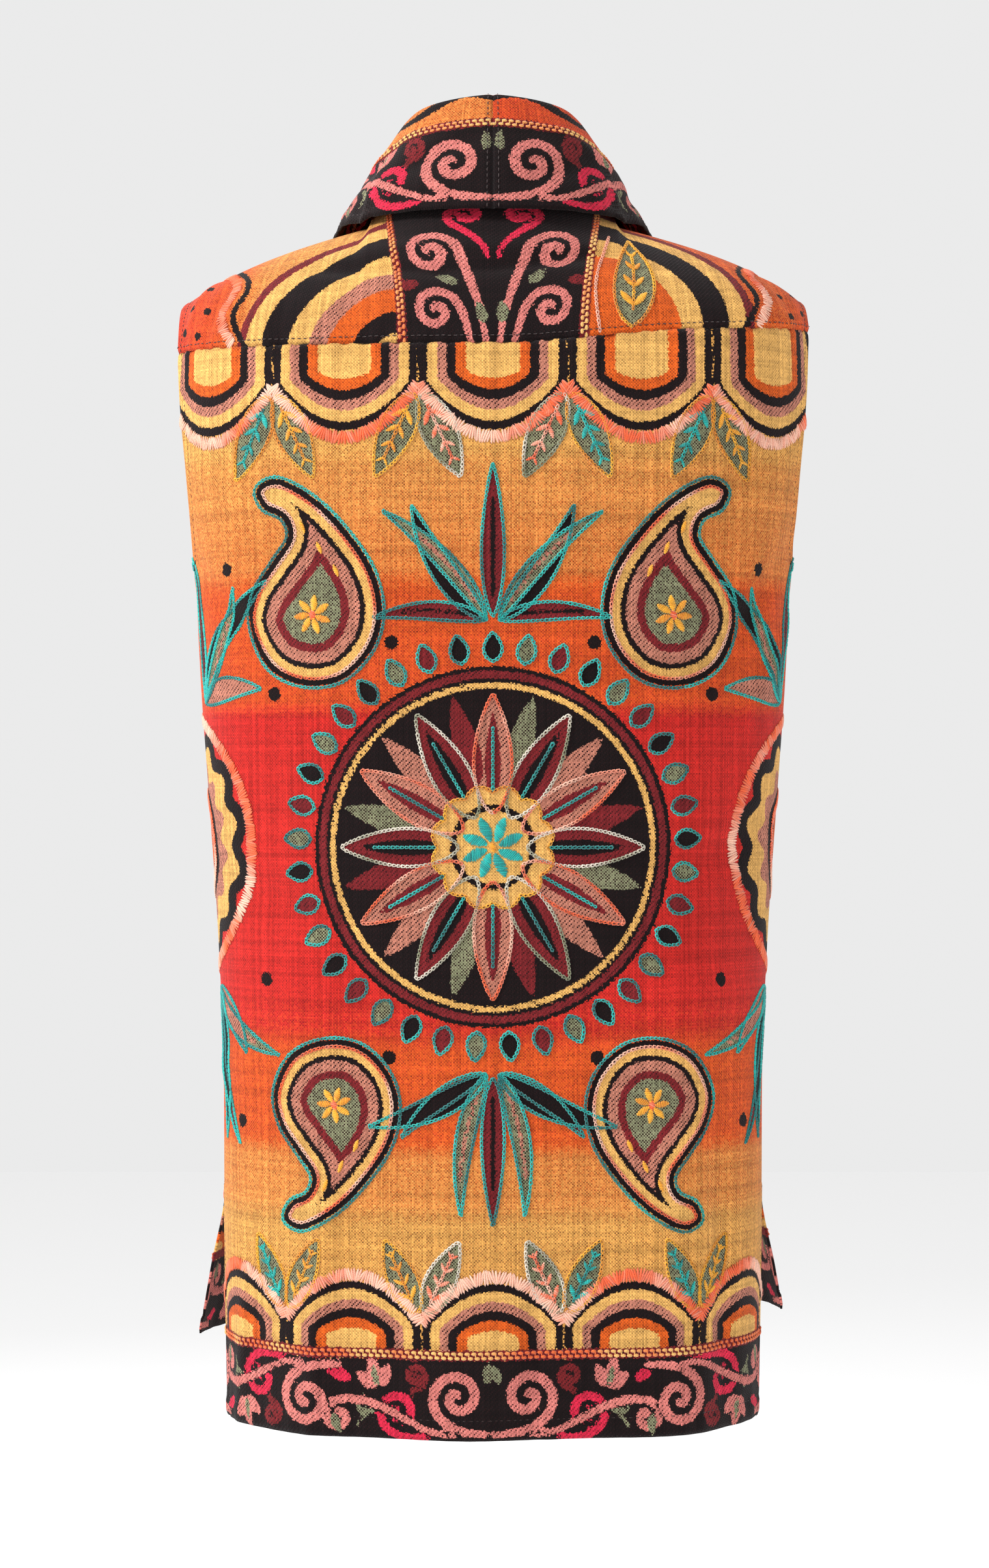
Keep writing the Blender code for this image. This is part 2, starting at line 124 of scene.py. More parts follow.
BODY = Table(
    ("z", "side_y", "back_y", "front_y"),
    (-0.060, -0.004, 0.1040, -0.078),
    (-0.100, -0.004, 0.1080, -0.095),
    (-0.150, -0.004, 0.1130, -0.110),
    (-0.200, -0.005, 0.1140, -0.120),
    (-0.255, -0.005, 0.1120, -0.127),
    (-0.310, -0.005, 0.1080, -0.130),
    (-0.375, -0.005, 0.1030, -0.129),
    (-0.480, -0.005, 0.0985, -0.127),
    (-0.570, -0.005, 0.1000, -0.130),
    (-0.660, -0.005, 0.1040, -0.134),
    (-0.790, -0.005, 0.1085, -0.140),
)
EDGE = Table(
    ("z", "back_x", "back_y", "front_x", "front_y"),
    (-0.070, 0.2068, 0.0180, 0.2035, -0.0300),
    (-0.100, 0.2055, 0.0340, 0.1970, -0.0460),
    (-0.140, 0.2025, 0.0440, 0.1890, -0.0620),
    (-0.180, 0.1990, 0.0420, 0.1855, -0.0630),
    (-0.215, 0.1968, 0.0310, 0.1870, -0.0520),
    (-0.240, 0.1958, 0.0140, 0.1910, -0.0310),
    (-0.255, 0.1955, -0.0052, 0.1955, -0.0048),
    (-0.310, 0.1930, -0.0052, 0.1930, -0.0048),
    (-0.375, 0.1885, -0.0052, 0.1885, -0.0048),
    (-0.480, 0.1815, -0.0052, 0.1815, -0.0048),
    (-0.570, 0.1780, -0.0052, 0.1780, -0.0048),
    (-0.640, 0.1777, -0.0052, 0.1777, -0.0048),
    (-0.700, 0.1765, 0.0050, 0.1890, -0.0170),
    (-0.790, 0.1740, 0.0210, 0.2060, -0.0360),
)
CENTRE = Table(
    ("z", "x"),
    (-0.200, 0.0420),
    (-0.255, 0.0290),
    (-0.330, 0.0150),
    (-0.450, 0.0130),
    (-0.600, 0.0160),
    (-0.790, 0.0280),
)
YOKE_SEAM = Table(
    ("x", "z"),
    (-0.205, -0.0790),
    (-0.100, -0.0880),
    (0.000, -0.0975),
    (0.100, -0.0975),
    (0.205, -0.0945),
)
FOLD_COLUMNS = ("x_top", "z_top", "x_end", "z_end", "half_width", "depth")
BACK_FOLDS = (
    (0.062, -0.330, 0.078, -0.800, 0.026, -0.0040),
    (0.020, -0.480, 0.016, -0.800, 0.022, 0.0032),
    (-0.046, -0.400, -0.060, -0.800, 0.028, -0.0046),
    (-0.112, -0.250, -0.124, -0.800, 0.024, 0.0034),
    (-0.152, -0.140, -0.160, -0.420, 0.018, -0.0028),
    (0.134, -0.150, 0.150, -0.520, 0.020, -0.0030),
)
LEFT_FOLDS = (
    (0.096, -0.220, 0.128, -0.790, 0.022, 0.0070),
    (0.060, -0.340, 0.070, -0.790, 0.018, -0.0045),
    (0.150, -0.420, 0.168, -0.790, 0.016, -0.0045),
)
RIGHT_FOLDS = (
    (0.088, -0.240, 0.116, -0.790, 0.024, 0.0062),
    (0.052, -0.360, 0.060, -0.790, 0.016, -0.0040),
    (0.146, -0.380, 0.160, -0.790, 0.018, -0.0052),
)
COLLAR = Table(
    ("way", "stand", "rise", "inward", "off", "fall", "clear"),
    (0.00, 0.0650, 1.0, 0.12, 0.0, 0.018, 0.0080),
    (0.10, 0.0610, 1.0, 0.17, 0.0, 0.020, 0.0075),
    (0.18, 0.0500, 1.0, 0.30, 0.0, 0.027, 0.0066),
    (0.24, 0.0390, 1.0, 0.34, 0.1, 0.032, 0.0060),
    (0.31, 0.0280, 0.7, 0.28, 0.5, 0.041, 0.0056),
    (0.40, 0.0190, 0.2, 0.18, 1.0, 0.051, 0.0054),
    (0.55, 0.0125, 0.0, 0.12, 1.0, 0.057, 0.0054),
    (0.70, 0.0105, 0.0, 0.08, 1.0, 0.052, 0.0054),
    (0.86, 0.0094, 0.0, 0.05, 1.0, 0.038, 0.0054),
    (1.00, 0.0085, 0.0, 0.02, 1.0, 0.021, 0.0054),
)
NECKLINE_STEPS = 260
COLLAR_STEPS = 80
SETTLE_REACH = 16
COLLAR_TURN = 0.0032
COLLAR_START = 0.0014
COLLAR_BULGE = 0.0034
COLLAR_LAP = 0.0003  # how far each half passes centre back

# Creases that are too fine for the solids, on the flat cut: two ends, half width, and depth into the cloth
CREASE_COLUMNS = ("u", "h", "u_end", "h_end", "half_width", "depth")
BACK_CREASES = (
    (0.215, -0.235, 0.120, -0.315, 0.010, -0.0026),
    (0.205, -0.175, 0.140, -0.205, 0.009, 0.0020),
    (-0.218, -0.220, -0.135, -0.300, 0.011, -0.0029),
    (-0.200, -0.150, -0.150, -0.190, 0.008, -0.0020),
    (-0.225, -0.270, -0.170, -0.330, 0.009, 0.0020),
    (0.200, -0.430, 0.095, -0.462, 0.013, -0.0023),
    (-0.205, -0.395, -0.100, -0.440, 0.012, -0.0026),
    (-0.200, -0.520, -0.115, -0.500, 0.012, 0.0020),
    (0.205, -0.560, 0.120, -0.545, 0.012, 0.0020),
    (0.110, -0.640, 0.118, -0.787, 0.009, 0.0032),
    (-0.030, -0.690, -0.026, -0.787, 0.008, -0.0026),
    (-0.150, -0.600, -0.158, -0.787, 0.010, -0.0029),
    (0.172, -0.700, 0.180, -0.787, 0.009, 0.0026),
    (0.082, -0.097, 0.078, -0.128, 0.006, -0.0013),
    (0.128, -0.096, 0.134, -0.140, 0.006, 0.0014),
    (-0.072, -0.092, -0.066, -0.125, 0.006, -0.0014),
    (-0.118, -0.088, -0.126, -0.135, 0.007, 0.0013),
    (-0.010, -0.099, -0.006, -0.124, 0.005, -0.0012),
)
YOKE_CREASES = (
    (0.125, 0.060, 0.030, 0.048, 0.0055, -0.0030),
    (0.030, 0.048, -0.090, 0.062, 0.0060, -0.0028),
    (0.110, 0.070, -0.060, 0.066, 0.0060, 0.0014),
    (0.196, 0.010, 0.184, 0.062, 0.0060, -0.0025),
    (0.172, 0.004, 0.160, 0.050, 0.0050, -0.0023),
    (0.216, 0.020, 0.206, 0.070, 0.0050, 0.0021),
    (0.150, 0.006, 0.143, 0.040, 0.0050, 0.0014),
    (-0.205, 0.016, -0.190, 0.064, 0.0060, -0.0021),
    (-0.165, 0.004, -0.150, 0.046, 0.0055, 0.0015),
    (-0.120, 0.002, -0.118, 0.030, 0.0050, -0.0014),
)
FRONT_CREASES = (
    (0.190, -0.235, 0.110, -0.300, 0.010, -0.0020),
    (0.185, -0.180, 0.130, -0.200, 0.008, 0.0014),
    (0.180, -0.430, 0.090, -0.455, 0.012, -0.0016),
    (0.175, -0.550, 0.100, -0.535, 0.011, 0.0014),
    (0.020, -0.640, 0.030, -0.744, 0.009, -0.0018),
)
LEFT_COLLAR_CREASES = (
    (0.012, 0.047, 0.052, 0.030, 0.0060, -0.0022),
    (0.030, 0.014, 0.082, 0.024, 0.0070, 0.0020),
    (0.070, 0.050, 0.118, 0.022, 0.0065, -0.0024),
    (0.112, 0.008, 0.160, 0.030, 0.0065, 0.0020),
    (0.190, 0.010, 0.240, 0.026, 0.0070, -0.0018),
)
RIGHT_COLLAR_CREASES = (
    (0.018, 0.018, 0.060, 0.034, 0.0065, -0.0022),
    (0.044, 0.054, 0.092, 0.036, 0.0060, 0.0020),
    (0.078, 0.010, 0.130, 0.028, 0.0070, -0.0024),
    (0.140, 0.040, 0.176, 0.012, 0.0065, 0.0018),
    (0.210, 0.008, 0.262, 0.020, 0.0070, -0.0018),
)

BACK_CELLS = (182, 246)
YOKE_CELLS = (176, 46)
FRONT_CELLS = (84, 228)
COLLAR_CELLS = (190, 54)

# Colours woven into the cloth: how strongly the dark threads below show, and 1 for twill or 0 for plain weave
WEAVE_COLUMNS = ("colour", "contrast", "twill")
WEAVES = (
    ("black", 0.35, 1.0),
    ("maroon", 0.60, 1.0),
    ("salmon", 0.80, 1.0),
    ("grey", 0.95, 0.0),
    ("rose", 0.62, 1.0),
    ("crimson", 0.46, 1.0),
    ("gold", 0.34, 0.0),
    ("orange", 0.42, 0.0),
)
FAR = 0.012  # signed distance where no motif is near
LADDER = 0.0052  # height of the golden ladder stripe
LADDER_STEP = 0.0042
LADDER_BLOCK = 0.0036
LADDER_RISE = 0.0030  # how far the stripe's middle lies above the border
BORDER = 0.0500  # height of the scroll border over the hem
BAND_YARN = 0.0019  # thickness of the yarn in each kind of straight stitch
SATIN_YARN = 0.0016
LADDER_YARN = 0.0009
SEWING_YARN = 0.0007
SEED = 11
FLOOR = -1.40  # height of the floor below the neck


def linear(code):
    """Scene-linear colour of an sRGB hex value."""
    parts = [int(code[k : k + 2], 16) / 255 for k in (1, 3, 5)]
    return tuple(p / 12.92 if p <= 0.04045 else ((p + 0.055) / 1.055) ** 2.4 for p in parts)


def length(name, description, default):
    """A length that a user may change, in metres."""
    return bpy.props.FloatProperty(
        name=name,
        description=description,
        default=default,
        min=0.0001,
        max=0.05,
        precision=4,
        unit="LENGTH",
    )


def tint(name, description, code):
    """A colour that a user may change."""
    return bpy.props.FloatVectorProperty(
        name=name,
        description=description,
        default=linear(code),
        size=3,
        min=0.0,
        max=1.0,
        subtype="COLOR",
    )


class VestSizes(bpy.types.PropertyGroup):
    """Sizes of cloth, thread and stitches."""

    wall: length("Cloth", "Thickness of the woven cloth", 0.0014)
    thread: length("Thread spacing", "Distance between threads, coarser than real so that it shows", 0.0010)
    link: length("Chain link", "Length of one chain stitch", 0.0036)
    link_width: length("Chain width", "Width of one chain stitch", 0.0029)
    band: length("Band width", "Width of the thick band stitch", 0.0095)
    bar: length("Band spacing", "Distance between two stitches of the band", 0.0015)
    satin: length("Satin spacing", "Distance between two satin stitches", 0.0011)
    running: length("Running stitch", "Length of one stitch along the edges", 0.0026)


class VestColours(bpy.types.PropertyGroup):
    """Colours of the woven cloth and of the embroidery yarns."""

    field_gold: tint("Field gold", "Ground of the upper and lower field", "#E2A455")
    field_orange: tint("Field orange", "Ground between gold and red", "#DD5C22")
    field_red: tint("Field red", "Ground in the middle of the field", "#CE2A24")
    black: tint("Black", "Warm black of borders and bands", "#150D0E")
    maroon: tint("Maroon", "Dark red petals", "#7A2226")
    salmon: tint("Salmon", "Brownish pink bands", "#BE7A66")
    grey: tint("Grey green", "Pepper-and-salt leaves", "#8A8C6C")
    rose: tint("Rose", "Pink scrolls", "#D67B73")
    crimson: tint("Crimson", "Bright scrolls", "#D62846")
    gold: tint("Gold", "Golden bands and stripes", "#E9B263")
    orange: tint("Orange", "Orange bands", "#E0601F")
    teal: tint("Teal", "Main embroidery yarn", "#16BBB1")
    deep_teal: tint("Deep teal", "Darker stretches of the teal yarn", "#0B7A78")
    flame: tint("Flame", "Orange embroidery yarn", "#EE6230")
    pale: tint("Pale salmon", "Light stretches of the orange yarn", "#F5BFA6")
    yellow: tint("Yellow", "Yellow embroidery yarn", "#F4B22C")
    amber: tint("Amber", "Darker stretches of the yellow yarn", "#E08C22")
    bone: tint("Bone", "Pale vines", "#E6DCCB")
    sewing: tint("Sewing thread", "Dark thread of the seams", "#3A1715")


def stack(x, y, z):
    """Three arrays as one array of points."""
    return np.stack(np.broadcast_arrays(x, y, z), axis=-1)


def unit(vectors):
    """The same directions with length one."""
    return vectors / np.maximum(np.linalg.norm(vectors, axis=-1, keepdims=True), 1e-12)


def hermite(start, start_pull, end, end_pull, t):
    """Points at t on the curve that leaves start along start_pull and arrives at end along end_pull."""
    t = np.asarray(t)[..., None]
    leaving = (2 * t**3 - 3 * t**2 + 1) * start + (t**3 - 2 * t**2 + t) * start_pull
    arriving = (3 * t**2 - 2 * t**3) * end + (t**3 - t**2) * end_pull
    return leaving + arriving


def looked_up(table, row, column):
    """Values of a table at fractional rows and columns."""
    row = np.clip(row, 0, table.shape[0] - 1.0001)
    column = np.clip(column, 0, table.shape[1] - 1.0001)
    r, c = row.astype(int), column.astype(int)
    fr, fc = row - r, column - c
    if table.ndim == 3:
        fr, fc = fr[..., None], fc[..., None]
    upper = table[r, c] * (1 - fc) + table[r, c + 1] * fc
    lower = table[r + 1, c] * (1 - fc) + table[r + 1, c + 1] * fc
    return upper * (1 - fr) + lower * fr


class Sections:
    """Level sections of the back or of a front, by height and share of their length."""

    def __init__(self, side):
        self.z = np.linspace(-0.80, -0.05, 376)
        back = side == "back"
        power = BACK_POWER if back else FRONT_POWER
        side_y = BODY.smooth("side_y", self.z) + (SEAM_GAP if back else -SEAM_GAP) / 2
        depth = BODY.smooth("back_y" if back else "front_y", self.z) - side_y
        edge_x = EDGE.smooth("back_x" if back else "front_x", self.z)
        edge_y = EDGE.smooth("back_y" if back else "front_y", self.z)
        cut = np.clip((edge_y - side_y) / depth, 0.0, 1.0)
        full = edge_x / (1 - cut**power) ** (1 / power)
        inner = 0 * full if back else CENTRE.smooth("x", self.z) / full
        first, last = np.arcsin(inner ** (power / 2)), np.arccos(cut ** (power / 2))
        angle = first[:, None] + (last - first)[:, None] * np.linspace(0, 1, 200)
        x = full[:, None] * np.sin(angle) ** (2 / power)
        y = side_y[:, None] + depth[:, None] * np.cos(angle) ** (2 / power)
        far = np.cumsum(np.hypot(np.diff(x), np.diff(y)), axis=-1)
        far = np.concatenate([0 * far[:, :1], far], axis=-1)
        shares = np.linspace(0, 1, 161)
        rows = [
            np.stack([np.interp(shares * f[-1], f, a), np.interp(shares * f[-1], f, b)], axis=-1)
            for a, b, f in zip(x, y, far)
        ]
        self.table = np.array(rows)
        self.lengths = far[:, -1]

    def length(self, z):
        """Length of the section at height z."""
        return np.interp(z, self.z, self.lengths)

    def at(self, z, share):
        """x and y at height z and a share of the section."""
        row = (np.asarray(z) - self.z[0]) / (self.z[1] - self.z[0])
        found = looked_up(self.table, *np.broadcast_arrays(row, np.asarray(share) * 160.0))
        return found[..., 0], found[..., 1]


BACK_SECTIONS = Sections("back")
FRONT_SECTIONS = Sections("front")
YOKE_HALF_LENGTH = float(BACK_SECTIONS.length(-0.088))


def folded(x, z, folds):
    """How far the soft folds push the cloth out at x and z."""
    pushed = np.zeros(np.broadcast(x, z).shape)
    for fold in rows(FOLD_COLUMNS, folds):
        way = np.clip((fold.z_top - z) / (fold.z_top - fold.z_end), 0, 1)
        across = (x - (fold.x_top + (fold.x_end - fold.x_top) * way)) / fold.half_width
        pushed += fold.depth * np.sin(way * np.pi / 2) ** 1.5 * np.exp(-across * across)
    return pushed


def creased(u, h, creases):
    """How far the fine creases push the cloth out at a place of its flat cut."""
    pushed = np.zeros(np.broadcast(u, h).shape)
    for crease in rows(CREASE_COLUMNS, creases):
        run = np.array([crease.u_end - crease.u, crease.h_end - crease.h])
        du, dh = u - crease.u, h - crease.h
        way = np.clip((du * run[0] + dh * run[1]) / (run @ run), 0, 1)
        apart = np.hypot(du - way * run[0], dh - way * run[1]) / crease.half_width
        swell = 0.55 + 0.45 * np.sin(np.pi * np.clip(way, 0.02, 0.98))
        pushed += crease.depth * np.exp(-apart * apart) * swell
    return pushed


def back_point(share, z):
    """Points of the back, at shares from -1 to 1 of its width and at heights z."""
    x, y = BACK_SECTIONS.at(z, np.abs(share))
    x = x * np.sign(share)
    return stack(x, y + folded(x, z, BACK_FOLDS) * (1 - np.abs(share) ** FOLD_FADE), z)


def neck_seam(turn):
    """Points of the neck seam, turn radians from centre back on the wearer's left."""
    forward = np.clip((turn - np.pi / 2) / (NECK_TURN - np.pi / 2), 0, 1)
    z = NECK_LIFT * np.cos(turn) - NECK_FORWARD_DROP * forward
    return stack(NECK_HALF_WIDTH * np.sin(turn), NECK_HALF_DEPTH * np.cos(turn), z)


def shoulder_seam(share):
    """Points of the forward shoulder seam on the wearer's left, from neck to tip."""
    share = np.asarray(share, float)
    corner = neck_seam(NECK_TURN)
    seam = corner + (np.array(SHOULDER_TIP) - corner) * share[..., None]
    seam[..., 2] += SHOULDER_CROWN * np.sin(np.pi * share)
    return seam


def forward_pull(share):
    """Direction in which the cloth passes the shoulder seam, going forwards."""
    share = np.asarray(share, float)
    return stack(-0.10 + 0.0 * share, -1.0 + 0.12 * share, -0.26 - 0.26 * share)


def yoke_point(share, down):
    """Points of the yoke, share from -1 to 1 across and down from 0 at neck or shoulder to 1 at the back."""
    share, down = np.broadcast_arrays(np.asarray(share, float), np.asarray(down, float))
    across = np.abs(share)
    mirror = stack(np.where(share < 0, -1.0, 1.0), 1.0, 1.0)
    on_neck = np.clip(across / NECK_SHARE, 0, 1)
    on_shoulder = np.clip((across - NECK_SHARE) / (1 - NECK_SHARE), 0, 1)
    by_neck = (across < NECK_SHARE)[..., None]
    top = np.where(by_neck, neck_seam(on_neck * NECK_TURN), shoulder_seam(on_shoulder)) * mirror
    over = (on_neck**1.3)[..., None]
    neck_pull = np.array([0.0, -0.45, 0.90]) * (1 - over) + forward_pull(0.0) * over
    top_pull = np.where(by_neck, neck_pull, forward_pull(on_shoulder)) * mirror
    bottom = back_point(share, YOKE_SEAM.smooth("z", share * YOKE_HALF_WIDTH) + SEAM_GAP / 2)
    bottom_pull = np.array([0.0, -0.10, 1.0])
    reach = 1.08 * np.linalg.norm(top - bottom, axis=-1, keepdims=True)
    return hermite(top, -top_pull * reach, bottom, -bottom_pull * reach, down)


def front_point(share, way, hem, folds):
    """Points of the left front, share from its edge to its side and way from shoulder seam to hem."""
    share, way = np.broadcast_arrays(np.asarray(share, float), np.asarray(way, float))
    seam = shoulder_seam(share) + unit(forward_pull(share)) * SEAM_GAP
    chest = stack(*FRONT_SECTIONS.at(CHEST, share), CHEST)
    reach = np.linalg.norm(seam - chest, axis=-1, keepdims=True)
    seam_pull = forward_pull(share) * reach * (1.05 - 0.45 * share[..., None])
    chest_pull = stack(-0.22 + 0.22 * share, -0.05, -1.0) * reach
    upper = hermite(seam, seam_pull, chest, chest_pull, np.clip(way / FRONT_UPPER_SHARE, 0, 1))
    z = CHEST + (hem - CHEST) * np.clip((way - FRONT_UPPER_SHARE) / (1 - FRONT_UPPER_SHARE), 0, 1)
    x, y = FRONT_SECTIONS.at(z, share)
    lower = stack(x, y - folded(x, z, folds) * (1 - share**FOLD_FADE), z)
    return np.where((way < FRONT_UPPER_SHARE)[..., None], upper, lower)


def surface_tree(hem, folds):
    """A search tree over the left half of yoke and front, for what lies on them."""
    points, faces = [], []
    steps = np.linspace(0, 1, 61)
    for patch in (
        yoke_point(steps[None, :] * 1.04 - 0.04, steps[::-1, None]),
        front_point(steps[None, :], steps[:, None], hem, folds),
    ):
        start = len(points)
        rows, columns = patch.shape[:2]
        points += [Vector(p) for p in patch.reshape(-1, 3)]
        for r in range(rows - 1):
            for c in range(columns - 1):
                k = start + r * columns + c
                faces.append((k, k + 1, k + columns + 1, k + columns))
    return BVHTree.FromPolygons(points, faces)


def neckline(hem, folds, count):
    """Evenly spaced points from centre back round the neck and down the front edge to the break."""
    break_way = FRONT_UPPER_SHARE + (1 - FRONT_UPPER_SHARE) * (BREAK - CHEST) / (hem - CHEST)
    round_neck = neck_seam(np.linspace(0, NECK_TURN, 120))
    down_front = front_point(0.0, np.linspace(0, break_way, 240)[1:], hem, folds)
    line = np.concatenate([round_neck, down_front])
    far = np.concatenate([[0], np.cumsum(np.linalg.norm(np.diff(line, axis=0), axis=1))])
    wanted = np.linspace(0, far[-1], count)
    return np.stack([np.interp(wanted, far, line[:, k]) for k in range(3)], axis=-1), far[-1]


def settled(vectors):
    """Directions from centre back on, averaged with their neighbours; the first have a mirrored half."""
    weights = np.hanning(2 * SETTLE_REACH + 1)[1:-1]
    before = vectors[SETTLE_REACH - 1 : 0 : -1] * np.array([-1.0, 1.0, 1.0])
    after = np.repeat(vectors[-1:], SETTLE_REACH - 1, axis=0)
    around = np.concatenate([before, vectors, after])
    result = np.stack([np.convolve(around[:, k], weights, "valid") for k in range(3)], axis=-1)
    result[0, 0] = 0.0
    return unit(result)


def collar_section(base, up, out, edge, stand):
    """Points of one section of the collar: up the stand, round the fold and down the fall to its edge."""
    out = unit(out - up * (out @ up))
    start = base + up * COLLAR_START
    centre = base + up * (stand - COLLAR_TURN) + out * COLLAR_TURN
    turn = [
        centre + COLLAR_TURN * (-out * np.cos(a) + up * np.sin(a))
        for a in np.radians(np.arange(0, 151, 15))
    ]
    drop = edge - turn[-1]
    falling = [
        turn[-1] + drop * share + out * COLLAR_BULGE * np.sin(np.pi * share)
        for share in np.linspace(0, 1, 17)[1:]
    ]
    rising = [start + (turn[0] - start) * share for share in np.linspace(0, 1, 12, endpoint=False)]
    line = np.array([*rising, *turn, *falling])
    far = np.concatenate([[0], np.cumsum(np.linalg.norm(np.diff(line, axis=0), axis=1))])
    wanted = np.linspace(0, far[-1], COLLAR_STEPS + 1)
    return np.stack([np.interp(wanted, far, line[:, k]) for k in range(3)], axis=-1), far[-1]


def collar_table(hem, folds):
    """Points and lengths of the left collar, by way along the neckline and share from edge to seam."""
    tree = surface_tree(hem, folds)
    line, total = neckline(hem, folds, NECKLINE_STEPS + 1)
    tangents = unit(np.gradient(line, axis=0))
    normals = np.array([tree.find_nearest(Vector(point))[1] for point in line])
    away = line - np.array([0.0, 0.0, -0.25])
    normals = settled(normals * np.sign((normals * away).sum(axis=1, keepdims=True)))
    outs = np.cross(normals, tangents)
    outs = settled(outs * np.sign((outs * (line + np.array([0.02, 0.0, -0.25]))).sum(axis=1, keepdims=True)))
    shares = np.linspace(0, 1, NECKLINE_STEPS + 1)
    stand, rise, inward, off, fall, clear = (COLLAR.smooth(c, shares) for c in COLLAR.columns[1:])
    level_in = -unit(stack(outs[:, 0], np.maximum(outs[:, 1], 0.0), 0.0))
    ups = settled(stack(0.0, 0.0, rise) + level_in * inward[:, None] + normals * off[:, None])
    sections, lengths = [], []
    for k, point in enumerate(line):
        place, normal = tree.find_nearest(Vector(point + outs[k] * fall[k]))[:2]
        normal = np.array(normal) * np.sign(np.array(normal) @ normals[k])
        edge = np.array(place) + normal * clear[k]
        edge[0] *= min(k, 1)
        section, far = collar_section(point, ups[k], outs[k], edge, stand[k])
        sections.append(section[::-1])
        lengths.append(far)
    return np.array(sections), np.array(lengths), total


def turned(distance, width):
    """Height of a turned-in edge at a distance from it, with a dip along its line of stitches."""
    raised = 0.0006 * np.clip((width + 0.001 - distance) / 0.002, 0, 1)
    rounded = 0.0007 * np.exp(-((distance / 0.0012) ** 2))
    return raised - rounded - 0.0006 * np.exp(-(((distance - width) / 0.0011) ** 2))


def sewn(distance, along=0.0):
    """Dip of a seam at a distance from it, with puckers along it."""
    pucker = 0.0007 * np.sin(along * 520 + 2.2 * np.sin(along * 71)) * np.exp(-((distance / 0.0075) ** 2))
    return pucker * (np.abs(along) > 0) - 0.0010 * np.exp(-((distance / 0.0018) ** 2))


def puckered(distance, along):
    """Puckers that the topstitching pulls into a turned edge."""
    wave = np.sin(along * 430 + 1.8 * np.sin(along * 57)) * 0.6 + np.sin(along * 190 + 1.0) * 0.4
    return 0.00055 * wave * np.exp(-(((distance - 0.008) / 0.010) ** 2))


def side_edge(distance, h):
    """Relief along an outer edge: the armhole's turned edge, the side seam, and the vent's turned edge."""
    edge = np.where(h > SIDE_TOP, turned(distance, TURNED_ARMHOLE), turned(distance, TURNED_EDGE))
    return np.where((h < SIDE_TOP) & (h > VENT_TOP), sewn(distance), edge)


def run_lengths(points):
    """Length of each column of a grid of points."""
    return np.linalg.norm(np.diff(points, axis=0), axis=-1).sum(axis=0)


class Cloth:
    """One piece of cloth, which knows where each place of its flat cut lies in space.

    Each kind of cloth has cut, which gives the place of the flat cut at shares a across and b down,
    place, which gives the point in space, room, the distance to the nearest edge, and relief, the
    height of hems and seams above the plain cloth.
    """

    creases = ()
    outside = (0.0, 1.0, 0.0)
    probe = (0.05, -0.4)
    side = 1

    def frames(self, u, h):
        """Points of the cloth at places of the flat cut, with its directions across, up and out."""
        across = unit(self.place(u + FLAT_STEP, h) - self.place(u - FLAT_STEP, h))
        up = unit(self.place(u, h + FLAT_STEP) - self.place(u, h - FLAT_STEP))
        out = unit(np.cross(across, up)) * self.hand
        lift = self.relief(u, h) + creased(u, h, self.creases)
        return self.place(u, h) + out * lift[..., None], across, up, out

    @property
    def hand(self):
        """1 or -1, whichever makes the cloth's outer face look outside."""
        if not hasattr(self, "_hand"):
            self._hand = 1.0
            out = self.frames(*(np.array([k]) for k in self.probe))[3][0]
            self._hand = 1.0 if out @ np.array(self.outside) > 0 else -1.0
        return self._hand


class Back(Cloth):
    """The back, on whose flat cut u runs from centre back to the wearer's left and h is the height."""

    name = "back"
    cells = BACK_CELLS
    creases = BACK_CREASES

    def seam(self, u, h):
        """Height of the yoke's seam over a place of the flat cut."""
        return YOKE_SEAM.smooth("z", u / BACK_SECTIONS.length(h) * YOKE_HALF_WIDTH)

    def cut(self, a, b):
        top = YOKE_SEAM.smooth("z", (2 * a - 1) * YOKE_HALF_WIDTH) - SEAM_GAP / 2
        h = top + (HEM_BACK - top) * b
        return (2 * a - 1) * BACK_SECTIONS.length(h), h

    def place(self, u, h):
        return back_point(np.clip(u / BACK_SECTIONS.length(h), -1, 1), h)

    def room(self, u, h):
        side = BACK_SECTIONS.length(h) - np.abs(u)
        return np.minimum(np.minimum(side, h - HEM_BACK), self.seam(u, h) - h)

    def relief(self, u, h):
        side = BACK_SECTIONS.length(h) - np.abs(u)
        hem = turned(h - HEM_BACK, TURNED_EDGE) + puckered(h - HEM_BACK, u)
        return side_edge(side, h) + hem + sewn(self.seam(u, h) - h, u + 1)


class Yoke(Cloth):
    """The yoke, on whose flat cut u runs as on the back and h is the way up from the back seam."""

    name = "yoke"
    cells = YOKE_CELLS
    creases = YOKE_CREASES
    outside = (0.0, 0.3, 1.0)
    probe = (0.15, 0.08)

    def __init__(self):
        self.shares = np.linspace(-1, 1, 161)
        self.columns = run_lengths(yoke_point(self.shares[None, :], np.linspace(0, 1, 60)[:, None]))

    def column(self, share):
        """Length of the yoke from its back seam to its top, at a share of its width."""
        return np.interp(share, self.shares, self.columns)

    def cut(self, a, b):
        share = 2 * a - 1 + 0 * b
        return share * YOKE_HALF_LENGTH, (1 - b) * self.column(share)

    def place(self, u, h):
        share = np.clip(u / YOKE_HALF_LENGTH, -1, 1)
        return yoke_point(share, np.clip(1 - h / self.column(share), 0, 1))

    def room(self, u, h):
        top = self.column(u / YOKE_HALF_LENGTH) - h
        return np.minimum(np.minimum(YOKE_HALF_LENGTH - np.abs(u), h), top)

    def relief(self, u, h):
        top = self.column(u / YOKE_HALF_LENGTH) - h
        return turned(YOKE_HALF_LENGTH - np.abs(u), TURNED_ARMHOLE) + sewn(h, u + 3) + sewn(top, u + 2)


